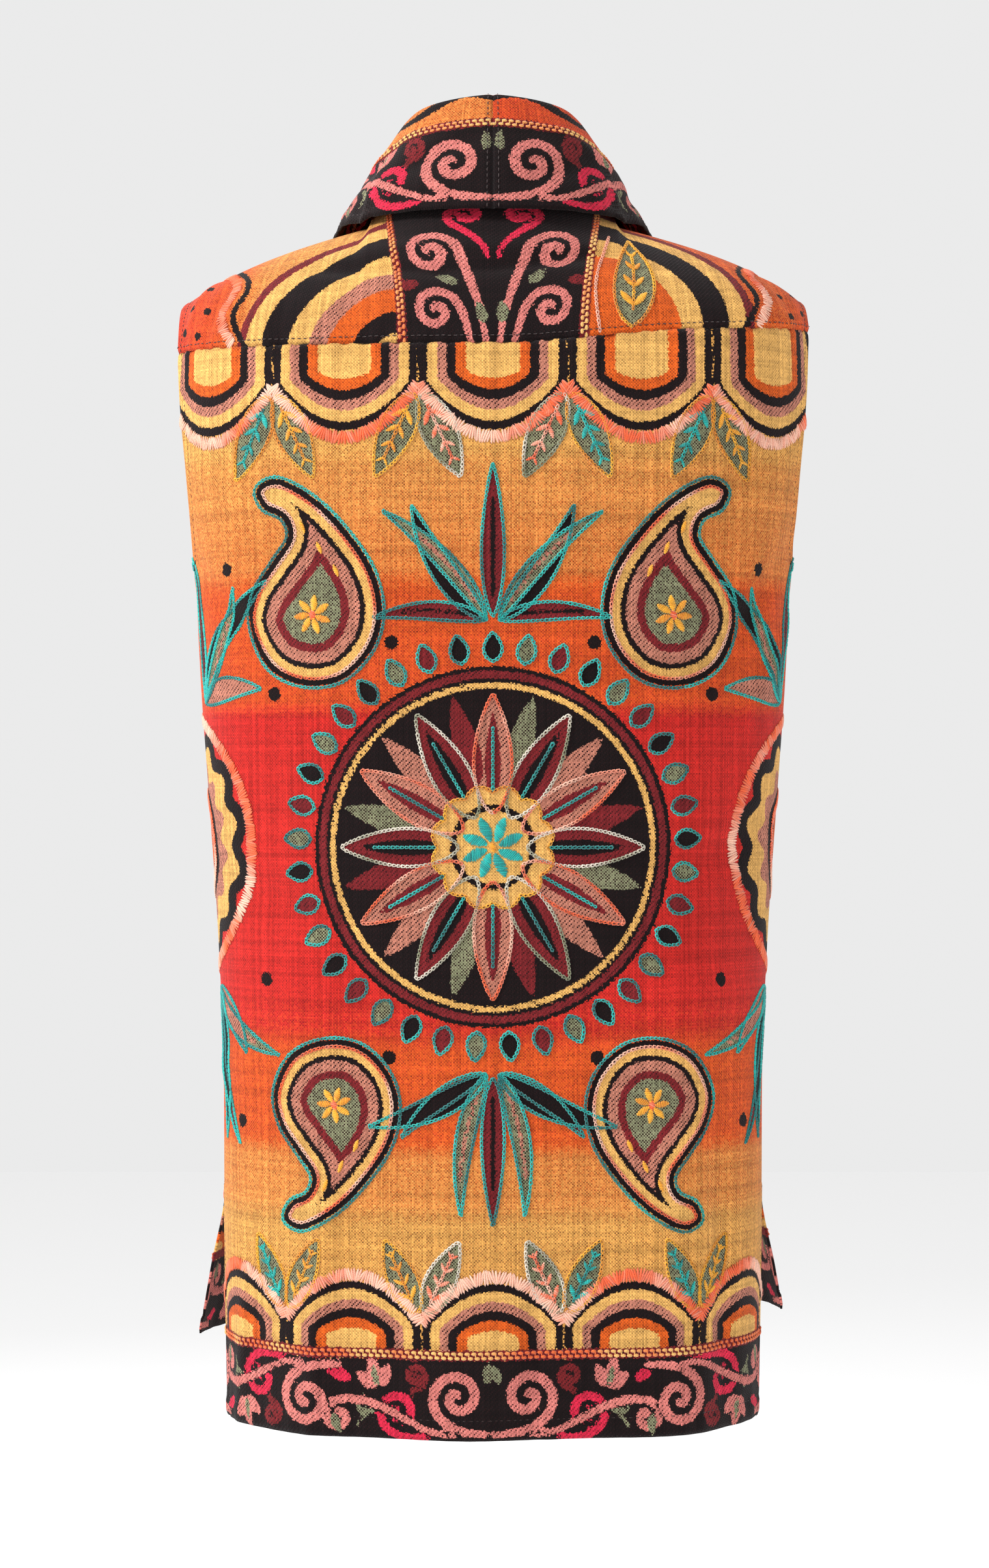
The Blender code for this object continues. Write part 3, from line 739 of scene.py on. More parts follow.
class Front(Cloth):
    """A front, on whose flat cut u runs from its edge to its side and h is the height."""

    cells = FRONT_CELLS
    creases = FRONT_CREASES
    outside = (0.0, -1.0, 0.0)
    probe = (0.1, -0.5)

    def __init__(self, name, hem, folds, side):
        self.name, self.hem, self.folds, self.side = name, hem, folds, side
        self.shares = np.linspace(0, 1, 81)
        ways = np.linspace(0, FRONT_UPPER_SHARE * 0.9999, 60)
        self.columns = run_lengths(front_point(self.shares[None, :], ways[:, None], hem, folds))

    def column(self, share):
        """Length of the front from the chest line to the shoulder seam, at a share of its width."""
        return np.interp(share, self.shares, self.columns)

    def cut(self, a, b):
        a, b = np.broadcast_arrays(a, b)
        low = CHEST + (self.hem - CHEST) * (b - FRONT_UPPER_SHARE) / (1 - FRONT_UPPER_SHARE)
        high = CHEST + (1 - b / FRONT_UPPER_SHARE) * self.column(a)
        h = np.where(b < FRONT_UPPER_SHARE, high, low)
        return a * FRONT_SECTIONS.length(np.minimum(h, CHEST)), h

    def place(self, u, h):
        share = np.clip(u / FRONT_SECTIONS.length(np.minimum(h, CHEST)), 0, 1)
        high = FRONT_UPPER_SHARE * (1 - (h - CHEST) / self.column(share))
        low = FRONT_UPPER_SHARE + (1 - FRONT_UPPER_SHARE) * (h - CHEST) / (self.hem - CHEST)
        way = np.clip(np.where(h > CHEST, high, low), 0, 1)
        return front_point(share, way, self.hem, self.folds) * np.array([self.side, 1, 1])

    def edges(self, u, h):
        """Distances to the outer edge and to the shoulder seam."""
        across = FRONT_SECTIONS.length(np.minimum(h, CHEST))
        return across - u, CHEST + self.column(u / across) - h

    def room(self, u, h):
        side, top = self.edges(u, h)
        return np.minimum(np.minimum(np.minimum(side, u), h - self.hem), top)

    def relief(self, u, h):
        side, top = self.edges(u, h)
        hem = turned(h - self.hem, TURNED_EDGE) + puckered(h - self.hem, u)
        return side_edge(side, h) + turned(u, TURNED_EDGE) + puckered(u, h) + hem + sewn(top, u + 2)


class Collar(Cloth):
    """Half of the collar: u runs from centre back along the neckline, h from the outer edge over the fold."""

    cells = COLLAR_CELLS
    probe = (0.01, 0.03)

    def __init__(self, name, hem, folds, side):
        self.name, self.side = name, side
        self.creases = LEFT_COLLAR_CREASES if side > 0 else RIGHT_COLLAR_CREASES
        self.table, self.lengths, self.total = collar_table(hem, folds)
        self.table[..., 0] -= COLLAR_LAP

    def across(self, u):
        """Length of the collar's section, from its outer edge to its seam."""
        return np.interp(u / self.total, np.linspace(0, 1, NECKLINE_STEPS + 1), self.lengths)

    def cut(self, a, b):
        u = a * self.total + 0 * b
        return u, (1 - b) * self.across(u)

    def place(self, u, h):
        found = looked_up(self.table, u / self.total * NECKLINE_STEPS, h / self.across(u) * COLLAR_STEPS)
        return found * np.array([self.side, 1, 1])

    def room(self, u, h):
        return np.minimum(np.minimum(u + 0.004, self.total - u), np.minimum(h, self.across(u) - h))

    def relief(self, u, h):
        end = turned(self.total - u, TURNED_COLLAR)
        return turned(h, TURNED_COLLAR) + puckered(h, u) + sewn(u) + end


def curve(points, closed=False, steps=8):
    """A smooth line through the given points."""
    p = np.asarray(points, float)
    if closed:
        p = np.concatenate([p[-1:], p, p[:2]])
    else:
        p = np.concatenate([2 * p[:1] - p[1:2], p, 2 * p[-1:] - p[-2:-1]])
    t = np.linspace(0, 1, steps, endpoint=False)[:, None]
    parts = []
    for a, b, c, d in zip(p, p[1:], p[2:], p[3:]):
        square, cube = a - 2.5 * b + 2 * c - d / 2, 1.5 * (b - c) + (d - a) / 2
        parts.append(b + (c - a) * t / 2 + square * t**2 + cube * t**3)
    line = np.concatenate(parts)
    return line if closed else np.vstack([line, p[-2]])


def placed(points, at, size=1.0, turn=0.0, flip=False):
    """Points of a motif at a place of the cloth, sized, turned by degrees and, if flip, mirrored."""
    p = np.asarray(points, float) * size * np.array([-1.0 if flip else 1.0, 1.0])
    c, s = np.cos(np.radians(turn)), np.sin(np.radians(turn))
    return p @ np.array([[c, s], [-s, c]]) + np.asarray(at, float)


def widened(points, by):
    """A closed line moved outwards by a distance."""
    run = np.roll(points, -1, axis=0) - np.roll(points, 1, axis=0)
    x, y = points.T
    turning = np.sign(np.sum(x * np.roll(y, -1) - np.roll(x, -1) * y))
    return points + unit(np.stack([run[:, 1], -run[:, 0]], axis=-1)) * turning * by


def closed(points):
    """A closed line with its first point again at its end."""
    return np.vstack([points, points[:1]])


def circle(at, radius, start=0, end=360, steps=72):
    """Points on a circle, or on a part of it given in degrees."""
    a = np.radians(np.linspace(start, end, steps, endpoint=end - start < 360))
    return np.stack([np.cos(a), np.sin(a)], axis=-1) * np.reshape(radius, (-1, 1)) + np.asarray(at, float)


def blade(at, turn, long, width, bend=0.0):
    """Outline and middle line of a slender leaf that grows from a point."""
    t = np.linspace(0, 1, 22)
    middle = np.stack([bend * t * t, t], axis=-1) * long
    half = 0.5 * width * np.sin(np.pi * t**0.8) ** 0.8
    run = unit(np.gradient(middle, axis=0))
    beside = np.stack([run[:, 1], -run[:, 0]], axis=-1) * half[:, None]
    outline = np.concatenate([middle + beside, (middle - beside)[-2:0:-1]])
    return placed(outline, at, 1.0, turn), placed(middle, at, 1.0, turn)


def spiral(at, radius, turns=1.6, hand=1, start=-90.0):
    """A spiral from its eye to its rim, which it reaches at start degrees, anticlockwise if hand is 1."""
    t = np.linspace(0, 1, 44)
    angle = np.radians(start - hand * 360 * turns * (1 - t))
    r = radius * (0.10 + 0.90 * t)
    return np.stack([np.cos(angle), np.sin(angle)], axis=-1) * r[:, None] + np.asarray(at, float)


def tendril(start, pull, eye, radius, hand=1, rim=-90.0, turns=1.5):
    """A stem that leaves its start along pull and coils into a spiral round its eye."""
    coil = spiral(eye, radius, turns, hand, rim)[::-1]
    far = np.hypot(*(coil[0] - start))
    into = unit(coil[1] - coil[0]) * far * 1.1
    leaving = unit(np.asarray(pull, float)) * far
    stem = hermite(np.asarray(start, float), leaving, coil[0], into, np.linspace(0, 1, 14)[:-1])
    return np.concatenate([stem, coil])


class Motifs:
    """What is woven into and sewn onto one piece of cloth, all given on its flat cut."""

    def __init__(self, cloth, flat):
        self.cloth, self.flat = cloth, flat
        colours = [weave.colour for weave in rows(WEAVE_COLUMNS, WEAVES)]
        self.fields = {colour: np.full(len(flat), FAR) for colour in ("ground", *colours)}
        self.fields["ground"][:] = -FAR
        self.ground = np.zeros(len(flat))
        self.links, self.bars = [], []
        self.random = np.random.default_rng(SEED)

    def weave(self, colour, distance):
        """Gives the inside of a shape to one colour, or to the ground."""
        for name, field in self.fields.items():
            if name == colour:
                np.minimum(field, distance, out=field)
            else:
                np.maximum(field, -distance, out=field)

    def near(self, points):
        """Which vertices lie by a motif."""
        low, high = points.min(axis=0) - FAR, points.max(axis=0) + FAR
        return np.all((self.flat > low) & (self.flat < high), axis=1)

    def disc(self, at, radius):
        """Signed distance from a disc's rim."""
        return np.hypot(*(self.flat - np.asarray(at, float)).T) - radius

    def shape(self, outline):
        """Signed distance from the outline of a closed shape."""
        near = self.near(outline)
        result = np.full(len(self.flat), FAR)
        p = self.flat[near][:, None]
        edge = np.roll(outline, -1, axis=0) - outline
        rel = p - outline
        t = np.clip((rel * edge).sum(-1) / np.maximum((edge * edge).sum(-1), 1e-12), 0, 1)
        away = np.sqrt(((rel - t[..., None] * edge) ** 2).sum(-1)).min(axis=1)
        below = outline[:, 1] > p[..., 1]
        rise = np.where(np.abs(edge[:, 1]) < 1e-12, 1e-12, edge[:, 1])
        left = rel[..., 0] < rel[..., 1] / rise * edge[:, 0]
        inside = ((below != np.roll(below, -1, axis=1)) & left).sum(axis=1) % 2 == 1
        result[near] = np.where(inside, -away, away)
        return result

    def stroke(self, line, half_width):
        """Signed distance from the rim of a line with a width, which may change along it."""
        near = self.near(line)
        result = np.full(len(self.flat), FAR)
        half = np.broadcast_to(np.asarray(half_width, float), (len(line),))
        edge = np.diff(line, axis=0)
        rel = self.flat[near][:, None] - line[:-1]
        t = np.clip((rel * edge).sum(-1) / np.maximum((edge * edge).sum(-1), 1e-12), 0, 1)
        away = np.sqrt(((rel - t[..., None] * edge) ** 2).sum(-1))
        result[near] = (away - half[:-1] - t * np.diff(half)).min(axis=1)
        return result

    def along(self, line, pitch):
        """Evenly spaced points on a line, each with the line's direction and its way along it."""
        far = np.concatenate([[0], np.cumsum(np.hypot(*np.diff(line, axis=0).T))])
        way = np.arange(pitch / 2, far[-1], pitch)
        points = np.stack([np.interp(way, far, line[:, k]) for k in (0, 1)], axis=-1)
        ahead = np.stack([np.interp(way + pitch, far, line[:, k]) for k in (0, 1)], axis=-1)
        behind = np.stack([np.interp(way - pitch, far, line[:, k]) for k in (0, 1)], axis=-1)
        return points, np.arctan2(*(ahead - behind).T[::-1]), way

    def shades(self, way, stretch):
        """How far a yarn has gone to its second colour at each way along a line."""
        nodes = self.random.uniform(-0.6, 1.6, int(way.max(initial=0) / stretch) + 3)
        return np.clip(np.interp(way / stretch, np.arange(len(nodes)), nodes), 0, 1)

    def chain(self, yarn, line, rows=1, stretch=0.03):
        """Chain stitch along a line, in one row or several side by side."""
        sizes = bpy.context.scene.vest_sizes
        for row in range(rows):
            points, angle, way = self.along(line, sizes.link * 0.8)
            shift = (row - (rows - 1) / 2) * sizes.link_width * 0.95
            points = points + np.stack([-np.sin(angle), np.cos(angle)], axis=-1) * shift
            angle = angle + self.random.normal(0, 0.07, len(angle))
            size = self.random.normal(1.0, 0.07, len(angle))
            self.links.append((yarn, points, angle, size, self.shades(way, stretch)))

    def bar(self, yarn, points, angle, long, thick, shade):
        """Straight stitches that lie side by side."""
        wide = [np.broadcast_to(np.asarray(v, float), (len(points),)) for v in (angle, long, thick, shade)]
        self.bars.append((yarn, points, *wide))

    def band(self, line, width=None):
        """A thick band of stitches laid across a line, in orange yarn that pales in stretches."""
        sizes = bpy.context.scene.vest_sizes
        width = width or sizes.band
        points, angle, way = self.along(line, sizes.bar)
        n = len(points)
        slant = np.pi / 2 + 0.32 * np.sin(way * 420) + self.random.normal(0, 0.08, n)
        long = width * self.random.normal(1.0, 0.06, n)
        shade = np.clip(self.shades(way, 0.034) ** 1.5 + self.random.normal(0, 0.13, n), 0, 1)
        self.bar("flame", points, angle + slant, long, BAND_YARN * self.random.normal(1.0, 0.1, n), shade)

    def satin(self, yarn, at, turn, long, wide, shade=0.5):
        """An almond of satin stitches."""
        sizes = bpy.context.scene.vest_sizes
        count = max(4, int(long / sizes.satin))
        t = (np.arange(count) + 0.5) / count
        points = placed(np.stack([0 * t, (t - 0.5) * long], axis=-1), at, 1.0, turn)
        across = wide * np.sin(np.pi * t) ** 0.6 * self.random.normal(1.0, 0.04, count)
        angle = np.radians(turn) + 0.35 + self.random.normal(0, 0.05, count)
        tone = np.clip(shade + self.random.normal(0, 0.18, count), 0, 1)
        self.bar(yarn, points, angle, across, SATIN_YARN, tone)

    def running(self, line):
        """A row of running stitches along a line."""
        sizes = bpy.context.scene.vest_sizes
        points, angle, _ = self.along(line, sizes.running * 1.5)
        self.bar("sewing", points, angle, sizes.running, SEWING_YARN, 0.5)

    def ladder(self, line, height=LADDER):
        """The golden ladder stripe: two rows of blocks, set half a step apart, on dark cloth."""
        self.weave("maroon", self.stroke(line, height / 2 + 0.0006))
        points, angle, way = self.along(line, LADDER_STEP)
        normal = np.stack([-np.sin(angle), np.cos(angle)], axis=-1)
        ahead = np.stack([np.cos(angle), np.sin(angle)], -1)
        tone = self.shades(way, 0.02)
        for sign in (1, -1):
            shift = normal * sign * height * 0.27 + ahead * LADDER_STEP / 4 * sign
            self.bar("honey", points + shift, angle, LADDER_BLOCK, height * 0.46, tone)
        rung = points + normal * height * 0.02
        self.bar("honey", rung, angle + np.pi / 2, height * 0.7, LADDER_YARN, tone)

    def outline(self, yarn, points, **how):
        """Chain stitch round a closed shape."""
        self.chain(yarn, closed(points), **how)


PAISLEY = (
    (0.00, -0.02),
    (-0.20, 0.03),
    (-0.33, 0.19),
    (-0.36, 0.38),
    (-0.29, 0.58),
    (-0.13, 0.76),
    (0.06, 0.90),
    (0.26, 0.97),
    (0.37, 0.91),
    (0.32, 0.82),
    (0.21, 0.78),
    (0.17, 0.69),
    (0.24, 0.56),
    (0.33, 0.40),
    (0.34, 0.22),
    (0.20, 0.04),
)
PAISLEY_SIZE = 0.15  # length of a drop, for which the insets of its bands hold
BAND_COLUMNS = ("colour", "inset")
PAISLEY_BANDS = (
    ("black", 0.000),
    ("gold", 0.0060),
    ("black", 0.0125),
    ("salmon", 0.0165),
    ("maroon", 0.0250),
    ("grey", 0.0310),
)


def paisley(m, at, size, turn, flip=False):
    """A banded drop with a curled tip, outlined in teal chain, with a satin flower in its belly."""
    k = size / PAISLEY_SIZE
    outline = placed(curve(PAISLEY, closed=True, steps=6), at, size, turn, flip)
    inside = m.shape(outline)
    for band in rows(BAND_COLUMNS, PAISLEY_BANDS):
        m.weave(band.colour, inside + band.inset * k)
    m.outline("teal", widened(outline, 0.0012))
    m.outline("flame", widened(outline, -0.0055 * k), stretch=0.02)
    belly = placed([(-0.01, 0.33)], at, size, turn, flip)[0]
    petals = 7
    for n in range(petals):
        spoke = turn + n * 360 / petals
        petal = placed([(0, 0.0085)], belly, k, spoke)[0]
        m.satin("yellow", petal, spoke, 0.0120 * k, 0.0066 * k, shade=(n % 3) * 0.4)
    m.satin("flame", belly, turn, 0.006, 0.006, shade=0.1)
    for x, y in ((-0.10, 0.56), (0.0, 0.66), (0.10, 0.75)):
        seed = placed([(x, y)], at, size, turn, flip)[0]
        m.satin("yellow", seed, turn - 30 * (-1 if flip else 1), 0.008, 0.0035, shade=0.3)


def leaf_spray(m, at, turns, lengths, width, bend=0.30, flip=False):
    """Slender leaves that fan out from one point, woven in dark twills and outlined in teal chain."""
    colours = ("maroon", "black", "grey", "salmon")
    for k, (turn, long) in enumerate(zip(turns, lengths)):
        side = -1 if flip else 1
        wide, bent = width * (0.85 + 0.3 * (k % 2)), bend * side * (-1) ** k
        outline, middle = blade(at, turn * side, long, wide, bent)
        inside = m.shape(outline)
        m.weave(colours[k % 4], inside)
        if k % 2 == 0:
            m.weave(colours[(k + 1) % 4], m.stroke(middle[3:-5], 0.0013))
        m.outline("teal", outline)


ROSETTE_RADIUS = 0.118  # radius for which the measures in a rosette hold
LOOP_RING = 0.012  # how far the middle of the ring of loops lies outside the rosette
LOOP_PITCH = 0.0215


def rosette(m, at, radius, petals=12):
    """A round flower of long petals round a golden heart, in a ring of small chain-stitched loops."""
    k = radius / ROSETTE_RADIUS
    m.weave("black", m.disc(at, radius))
    m.weave("maroon", np.abs(m.disc(at, radius - 0.0055 * k)) - 0.0024 * k)
    m.weave("gold", np.abs(m.disc(at, radius - 0.0125 * k)) - 0.0019 * k)

    def out(distance, turn):
        """The place at a distance from the middle, in a direction given in degrees."""
        return placed([(0, distance)], at, 1, turn)[0]

    for n in range(petals):
        turn, half = n * 360 / petals, 180 / petals
        between, _ = blade(out(0.040 * k, turn + half), turn + half, 0.062 * k, 0.017 * k)
        m.weave(("grey", "salmon", "maroon")[n % 3], m.shape(between))
        petal, middle = blade(out(0.022 * k, turn), turn, 0.078 * k, 0.025 * k)
        m.weave("salmon" if n % 2 == 0 else "maroon", m.shape(petal))
        core, _ = blade(out(0.030 * k, turn), turn, 0.058 * k, 0.0105 * k)
        m.weave("maroon" if n % 2 == 0 else "black", m.shape(core))
        m.outline("bone" if n % 2 else "flame", petal, stretch=0.02)
        m.chain("teal", middle[4:-6])
    round_heart = np.radians(np.linspace(0, 360, 97)[:-1] * 6)
    lobes = circle(at, 0.036 * k + 0.0045 * k * np.abs(np.sin(round_heart)), steps=96)
    m.weave("gold", m.shape(lobes))
    m.outline("yellow", lobes, stretch=0.015)
    m.weave("black", np.abs(m.disc(at, 0.026 * k)) - 0.0020 * k)
    for n in range(8):
        turn = n * 45 + 22.5
        shade = 0.25 + 0.3 * (n % 2)
        m.satin("teal", out(0.0125 * k, turn), turn, 0.0165 * k, 0.0086 * k, shade=shade)
    m.satin("yellow", np.asarray(at, float), 0, 0.006 * k, 0.006 * k)
    loops = int(round(2 * np.pi * (radius + LOOP_RING) / LOOP_PITCH))
    for n in range(loops):
        turn = n * 360 / loops
        loop, _ = blade(out(radius + 0.0030, turn), turn, 0.0185 * k**0.5, 0.0118 * k**0.5)
        m.weave(("black", "grey", "maroon")[n % 3], m.shape(loop))
        m.outline("teal", loop, stretch=0.02)


FAN_RADIUS = 0.066  # radius for which the measures in a half flower hold
FAN_LOBES = 7
FAN_REACH = 96  # degrees that its thick bands run to each side


def fan(m, at, radius, facing):
    """Half a round flower at an edge of the cloth: scalloped lobes between half rings of thick stitches."""
    k = radius / FAN_RADIUS
    a = np.linspace(0, 360, 169)[:-1]
    rim = radius * (0.90 + 0.10 * np.abs(np.sin(np.radians(a) * FAN_LOBES)))
    outline = circle(at, rim, steps=168)
    inside = m.shape(outline)
    m.weave("black", inside)
    m.weave("gold", inside + 0.0075 * k)
    waves = circle(at, radius * (0.66 + 0.055 * np.sin(np.radians(a) * 2 * FAN_LOBES)), steps=168)
    m.weave("salmon", m.shape(waves))
    m.weave("black", m.disc(at, radius * 0.52))
    m.weave("orange", m.disc(at, radius * 0.36))
    for turn in range(0, 360, 45):
        m.weave("black", m.disc(placed([(0, radius * 0.21)], at, 1, turn)[0], 0.0032 * k))
    middle = 0 if facing > 0 else 180
    m.band(circle(at, radius * 1.03, middle - FAN_REACH, middle + FAN_REACH, 80))
    m.band(circle(at, radius * 0.43, middle - FAN_REACH, middle + FAN_REACH, 60), 0.0080)


def swag(m, start, end, drop, up=1):
    """A hanging arc of thick stitches."""
    t = np.linspace(0, 1, 30)
    line = np.stack([start[0] + (end[0] - start[0]) * t, start[1] + (end[1] - start[1]) * t], axis=-1)
    line[:, 1] -= up * drop * 4 * t * (1 - t)
    m.band(line)


def sprig(m, at, turn, long, yarn="yellow"):
    """A leaf of grey twill outlined in chain, with pairs of satin leaflets along its middle."""
    outline, middle = blade(at, turn, long, long * 0.38)
    m.weave("grey", m.shape(outline))
    m.outline("bone" if yarn == "flame" else "yellow", outline, stretch=0.02)
    m.chain(yarn, middle[3:-4], stretch=0.012)
    pairs = 4
    for k in range(pairs):
        way = 0.22 + 0.56 * k / (pairs - 1)
        small = long * 0.175 * (1.0 - 0.16 * k)
        for side in (1, -1):
            root = placed([(side * small * 0.36, way * long + small * 0.24)], at, 1, turn)[0]
            m.satin(yarn, root, turn - side * 42, small, small * 0.42, shade=0.2 + 0.25 * (k % 3))


def tulip(m, at, turn, size):
    """Three short rose leaves that open from one point, with a grey heart."""
    for angle, long in ((-48, 0.8), (48, 0.8), (0, 1.0)):
        outline, _ = blade(at, turn + angle, size * long, size * 0.42, bend=0.12 * np.sign(angle))
        m.weave("rose", m.shape(outline))
    core, _ = blade(at, turn, size * 0.7, size * 0.20)
    m.weave("grey", m.shape(core))


def taper(line, thin, thick):
    """Half widths along a line that swells from both ends to its middle."""
    t = np.linspace(0, 1, len(line))
    return thin + (thick - thin) * np.clip(np.minimum(t, 1 - t) * 5, 0, 1)


def vine(m, colour, line, thick):
    """A stem woven in one colour between dark rims, thin at its ends."""
    m.weave("black", m.stroke(line, taper(line, thick * 0.32, thick * 0.5) + 0.0013))
    m.weave(colour, m.stroke(line, taper(line, thick * 0.32, thick * 0.5)))


# Coils of the scrollwork, from a point between its floor and roof, and of the yoke, from its seam
COIL_COLUMNS = ("colour", "thick", "root", "pull", "eye", "radius", "hand", "rim", "turns")
SCROLL_COILS = (
    ("maroon", 0.0040, (0.050, -0.010), (0.2, 1), (0.0490, 0.0145), 0.0080, 1, -90, 1.5),
    ("grey", 0.0036, (0.086, -0.018), (-0.3, 1), (0.0810, -0.003), 0.0068, -1, 200, 1.5),
    ("rose", 0.0062, (0.000, -0.021), (1, 0.1), (0.0220, 0.002), 0.0175, -1, -60, 1.5),
    ("crimson", 0.0054, (0.030, -0.022), (1, 0.05), (0.0590, -0.008), 0.0135, -1, -70, 1.4),
    ("rose", 0.0052, (0.024, -0.021), (1, -0.1), (0.0980, -0.012), 0.0105, 1, 90, 1.2),
)
YOKE_COILS = (
    ("rose", 0.0060, (0.004, -0.004), (0.1, 1), (0.0340, 0.062), 0.0165, 1, 180, 1.5),
    ("rose", 0.0056, (0.012, -0.004), (0.5, 1), (0.0355, 0.020), 0.0150, 1, 165, 1.4),
    ("crimson", 0.0048, (0.003, 0.060), (0.1, 1), (0.0130, 0.092), 0.0100, -1, -60, 1.3),
)
SCROLL_HEIGHT = 0.050  # height for which the coils' measures hold
SCROLL_PITCH = 0.098
SCROLL_LEAST = 0.020


def coils(m, table, spot, size, side, up):
    """Weaves the coils of a table, whose places spot turns into places of the flat cut."""
    for coil in rows(COIL_COLUMNS, table):
        pull = (side * coil.pull[0], up * coil.pull[1])
        rim, hand = up * (90 + (coil.rim - 90) * side), coil.hand * side * up
        eye, radius = spot(*coil.eye), coil.radius * size
        line = tendril(spot(*coil.root), pull, eye, radius, hand, rim, coil.turns)
        vine(m, coil.colour, line, coil.thick * size)


def scrollwork(m, low, high, start, end, side=1):
    """Running scrollwork on black: large rose coils, crimson ones between them, curls, tulips and leaves."""
    at, up = start, 1
    while at < end:
        floor, roof = low(at + 0.03), high(at + 0.03)
        if roof - floor < SCROLL_LEAST:
            break
        s = (roof - floor) / SCROLL_HEIGHT
        middle = (floor + roof) / 2
        over = 0 if up > 0 else 180

        def spot(x, y):
            """The place of a point that is x along the scroll and y above its middle."""
            return np.array([side * (at + x * s), middle + up * y * s])

        coils(m, SCROLL_COILS, spot, s, side, up)
        tulip(m, spot(0.073, 0.007), -side * 14 + over, 0.021 * s)
        leaf, _ = blade(spot(0.090, 0.011), -side * 62 * up + over, 0.018 * s, 0.0076 * s, 0.2)
        m.weave("crimson", m.shape(leaf))
        leaf, _ = blade(spot(0.004, 0.010), side * 12 * up + over, 0.014 * s, 0.0062 * s, 0.2)
        m.weave("grey", m.shape(leaf))
        at, up = at + SCROLL_PITCH * s, -up


def dots(m, places, radius=0.0046):
    """Round black dots woven into the ground."""
    for at in places:
        m.weave("black", m.disc(at, radius))


# The ground of back and fronts by height: gold up to 0.10, orange at 0.55 and red at 1
SHADING = Table(
    ("h", "red"),
    (-0.800, 0.02),
    (-0.655, 0.02),
    (-0.640, 0.20),
    (-0.612, 0.24),
    (-0.600, 0.52),
    (-0.545, 0.56),
    (-0.530, 0.86),
    (-0.500, 1.00),
    (-0.335, 1.00),
    (-0.322, 0.62),
    (-0.255, 0.55),
    (-0.240, 0.30),
    (-0.175, 0.16),
    (-0.160, 0.00),
    (0.100, 0.00),
)
SCALLOP_COLUMNS = ("colour", "share")
SCALLOP_BANDS = (
    ("black", 0.98),
    ("gold", 0.84),
    ("salmon", 0.66),
    ("black", 0.50),
    ("orange", 0.34),
    ("gold", 0.16),
)
SPRIG_YARNS = ("flame", "yellow", "teal")


def garland(m, top, count, width, drop, up=1, start=None):
    """A row of scallops banded in black, gold, salmon and orange, with a pair of sprigs where two meet."""
    pitch, start = 2 * width / count, -width if start is None else start
    t = np.linspace(0, 1, 40)
    for k in range(count):
        left = start + pitch * k
        for band in rows(SCALLOP_COLUMNS, SCALLOP_BANDS):
            across = left + pitch * (0.5 + (t - 0.5) * (0.24 + 0.76 * band.share))
            fall = drop * band.share * 4 * t * (1 - t) + 0.010 * (band.share - 1)
            arc = np.stack([across, top - up * fall], -1)
            roof = arc[::-1] * [1, 0] + [0, top + up * 0.050]
            m.weave(band.colour, m.shape(np.concatenate([arc, roof])))
        swag(m, (left, top), (left + pitch, top), drop * 1.12, up)
    for k in range(1, count):
        for side in (1, -1):
            turn = (180 if up > 0 else 0) + up * side * 25
            at = (start + pitch * k + side * 0.0025, top - up * 0.006)
            sprig(m, at, turn, 0.058 if up > 0 else 0.050, SPRIG_YARNS[(k + (side > 0)) % 3])


MIDDLE = -0.415  # height of the rosettes and of the half flowers at the side seams
LEAF_WIDTH = 0.0135
FRONT_LEAF_WIDTH = 0.0130
CENTRE_LEAF_WIDTH = 0.0170
SPRAY_COLUMNS = ("u", "h", "turns", "lengths")
BACK_SPRAYS = (
    (0.212, -0.322, (2, 24, 44, 66), (0.104, 0.096, 0.078, 0.058)),
    (0.210, -0.508, (178, 156, 136, 116), (0.100, 0.094, 0.078, 0.056)),
    (0.004, -0.272, (-72, -50, -27), (0.068, 0.082, 0.090)),
    (0.004, -0.558, (-110, -131, -153), (0.064, 0.078, 0.086)),
)
# On a front, u of a spray counts from the side seam inwards
FRONT_SPRAYS = (
    (0.010, -0.325, (4, 26, 46, 66), (0.100, 0.090, 0.072, 0.054)),
    (0.012, -0.505, (176, 154, 134, 114), (0.098, 0.088, 0.072, 0.054)),
)
DROP_COLUMNS = ("u", "h", "size", "turn", "mirrored")
BACK_DROPS = (
    (0.122, -0.310, 0.128, 8, False),
    (0.108, -0.540, 0.118, 172, True),
)
FRONT_DROPS = (
    (0.090, -0.338, 0.128, 4, False),
    (0.088, -0.496, 0.122, 176, True),
)
BACK_DOTS = (
    (0.142, -0.318),
    (0.150, -0.500),
    (0.064, -0.286),
    (0.066, -0.548),
    (0.174, -0.592),
    (0.180, -0.238),
)
FRONT_DOTS = (
    (0.034, -0.352),
    (0.034, -0.478),
    (0.130, -0.352),
    (0.128, -0.482),
    (0.150, -0.610),
    (0.150, -0.232),
)


def drops(m, table, side=1):
    """The banded drops of a table, mirrored on the other side."""
    for drop in rows(DROP_COLUMNS, table):
        flip = (side < 0) != drop.mirrored
        paisley(m, (side * drop.u, drop.h), drop.size, side * drop.turn, flip)


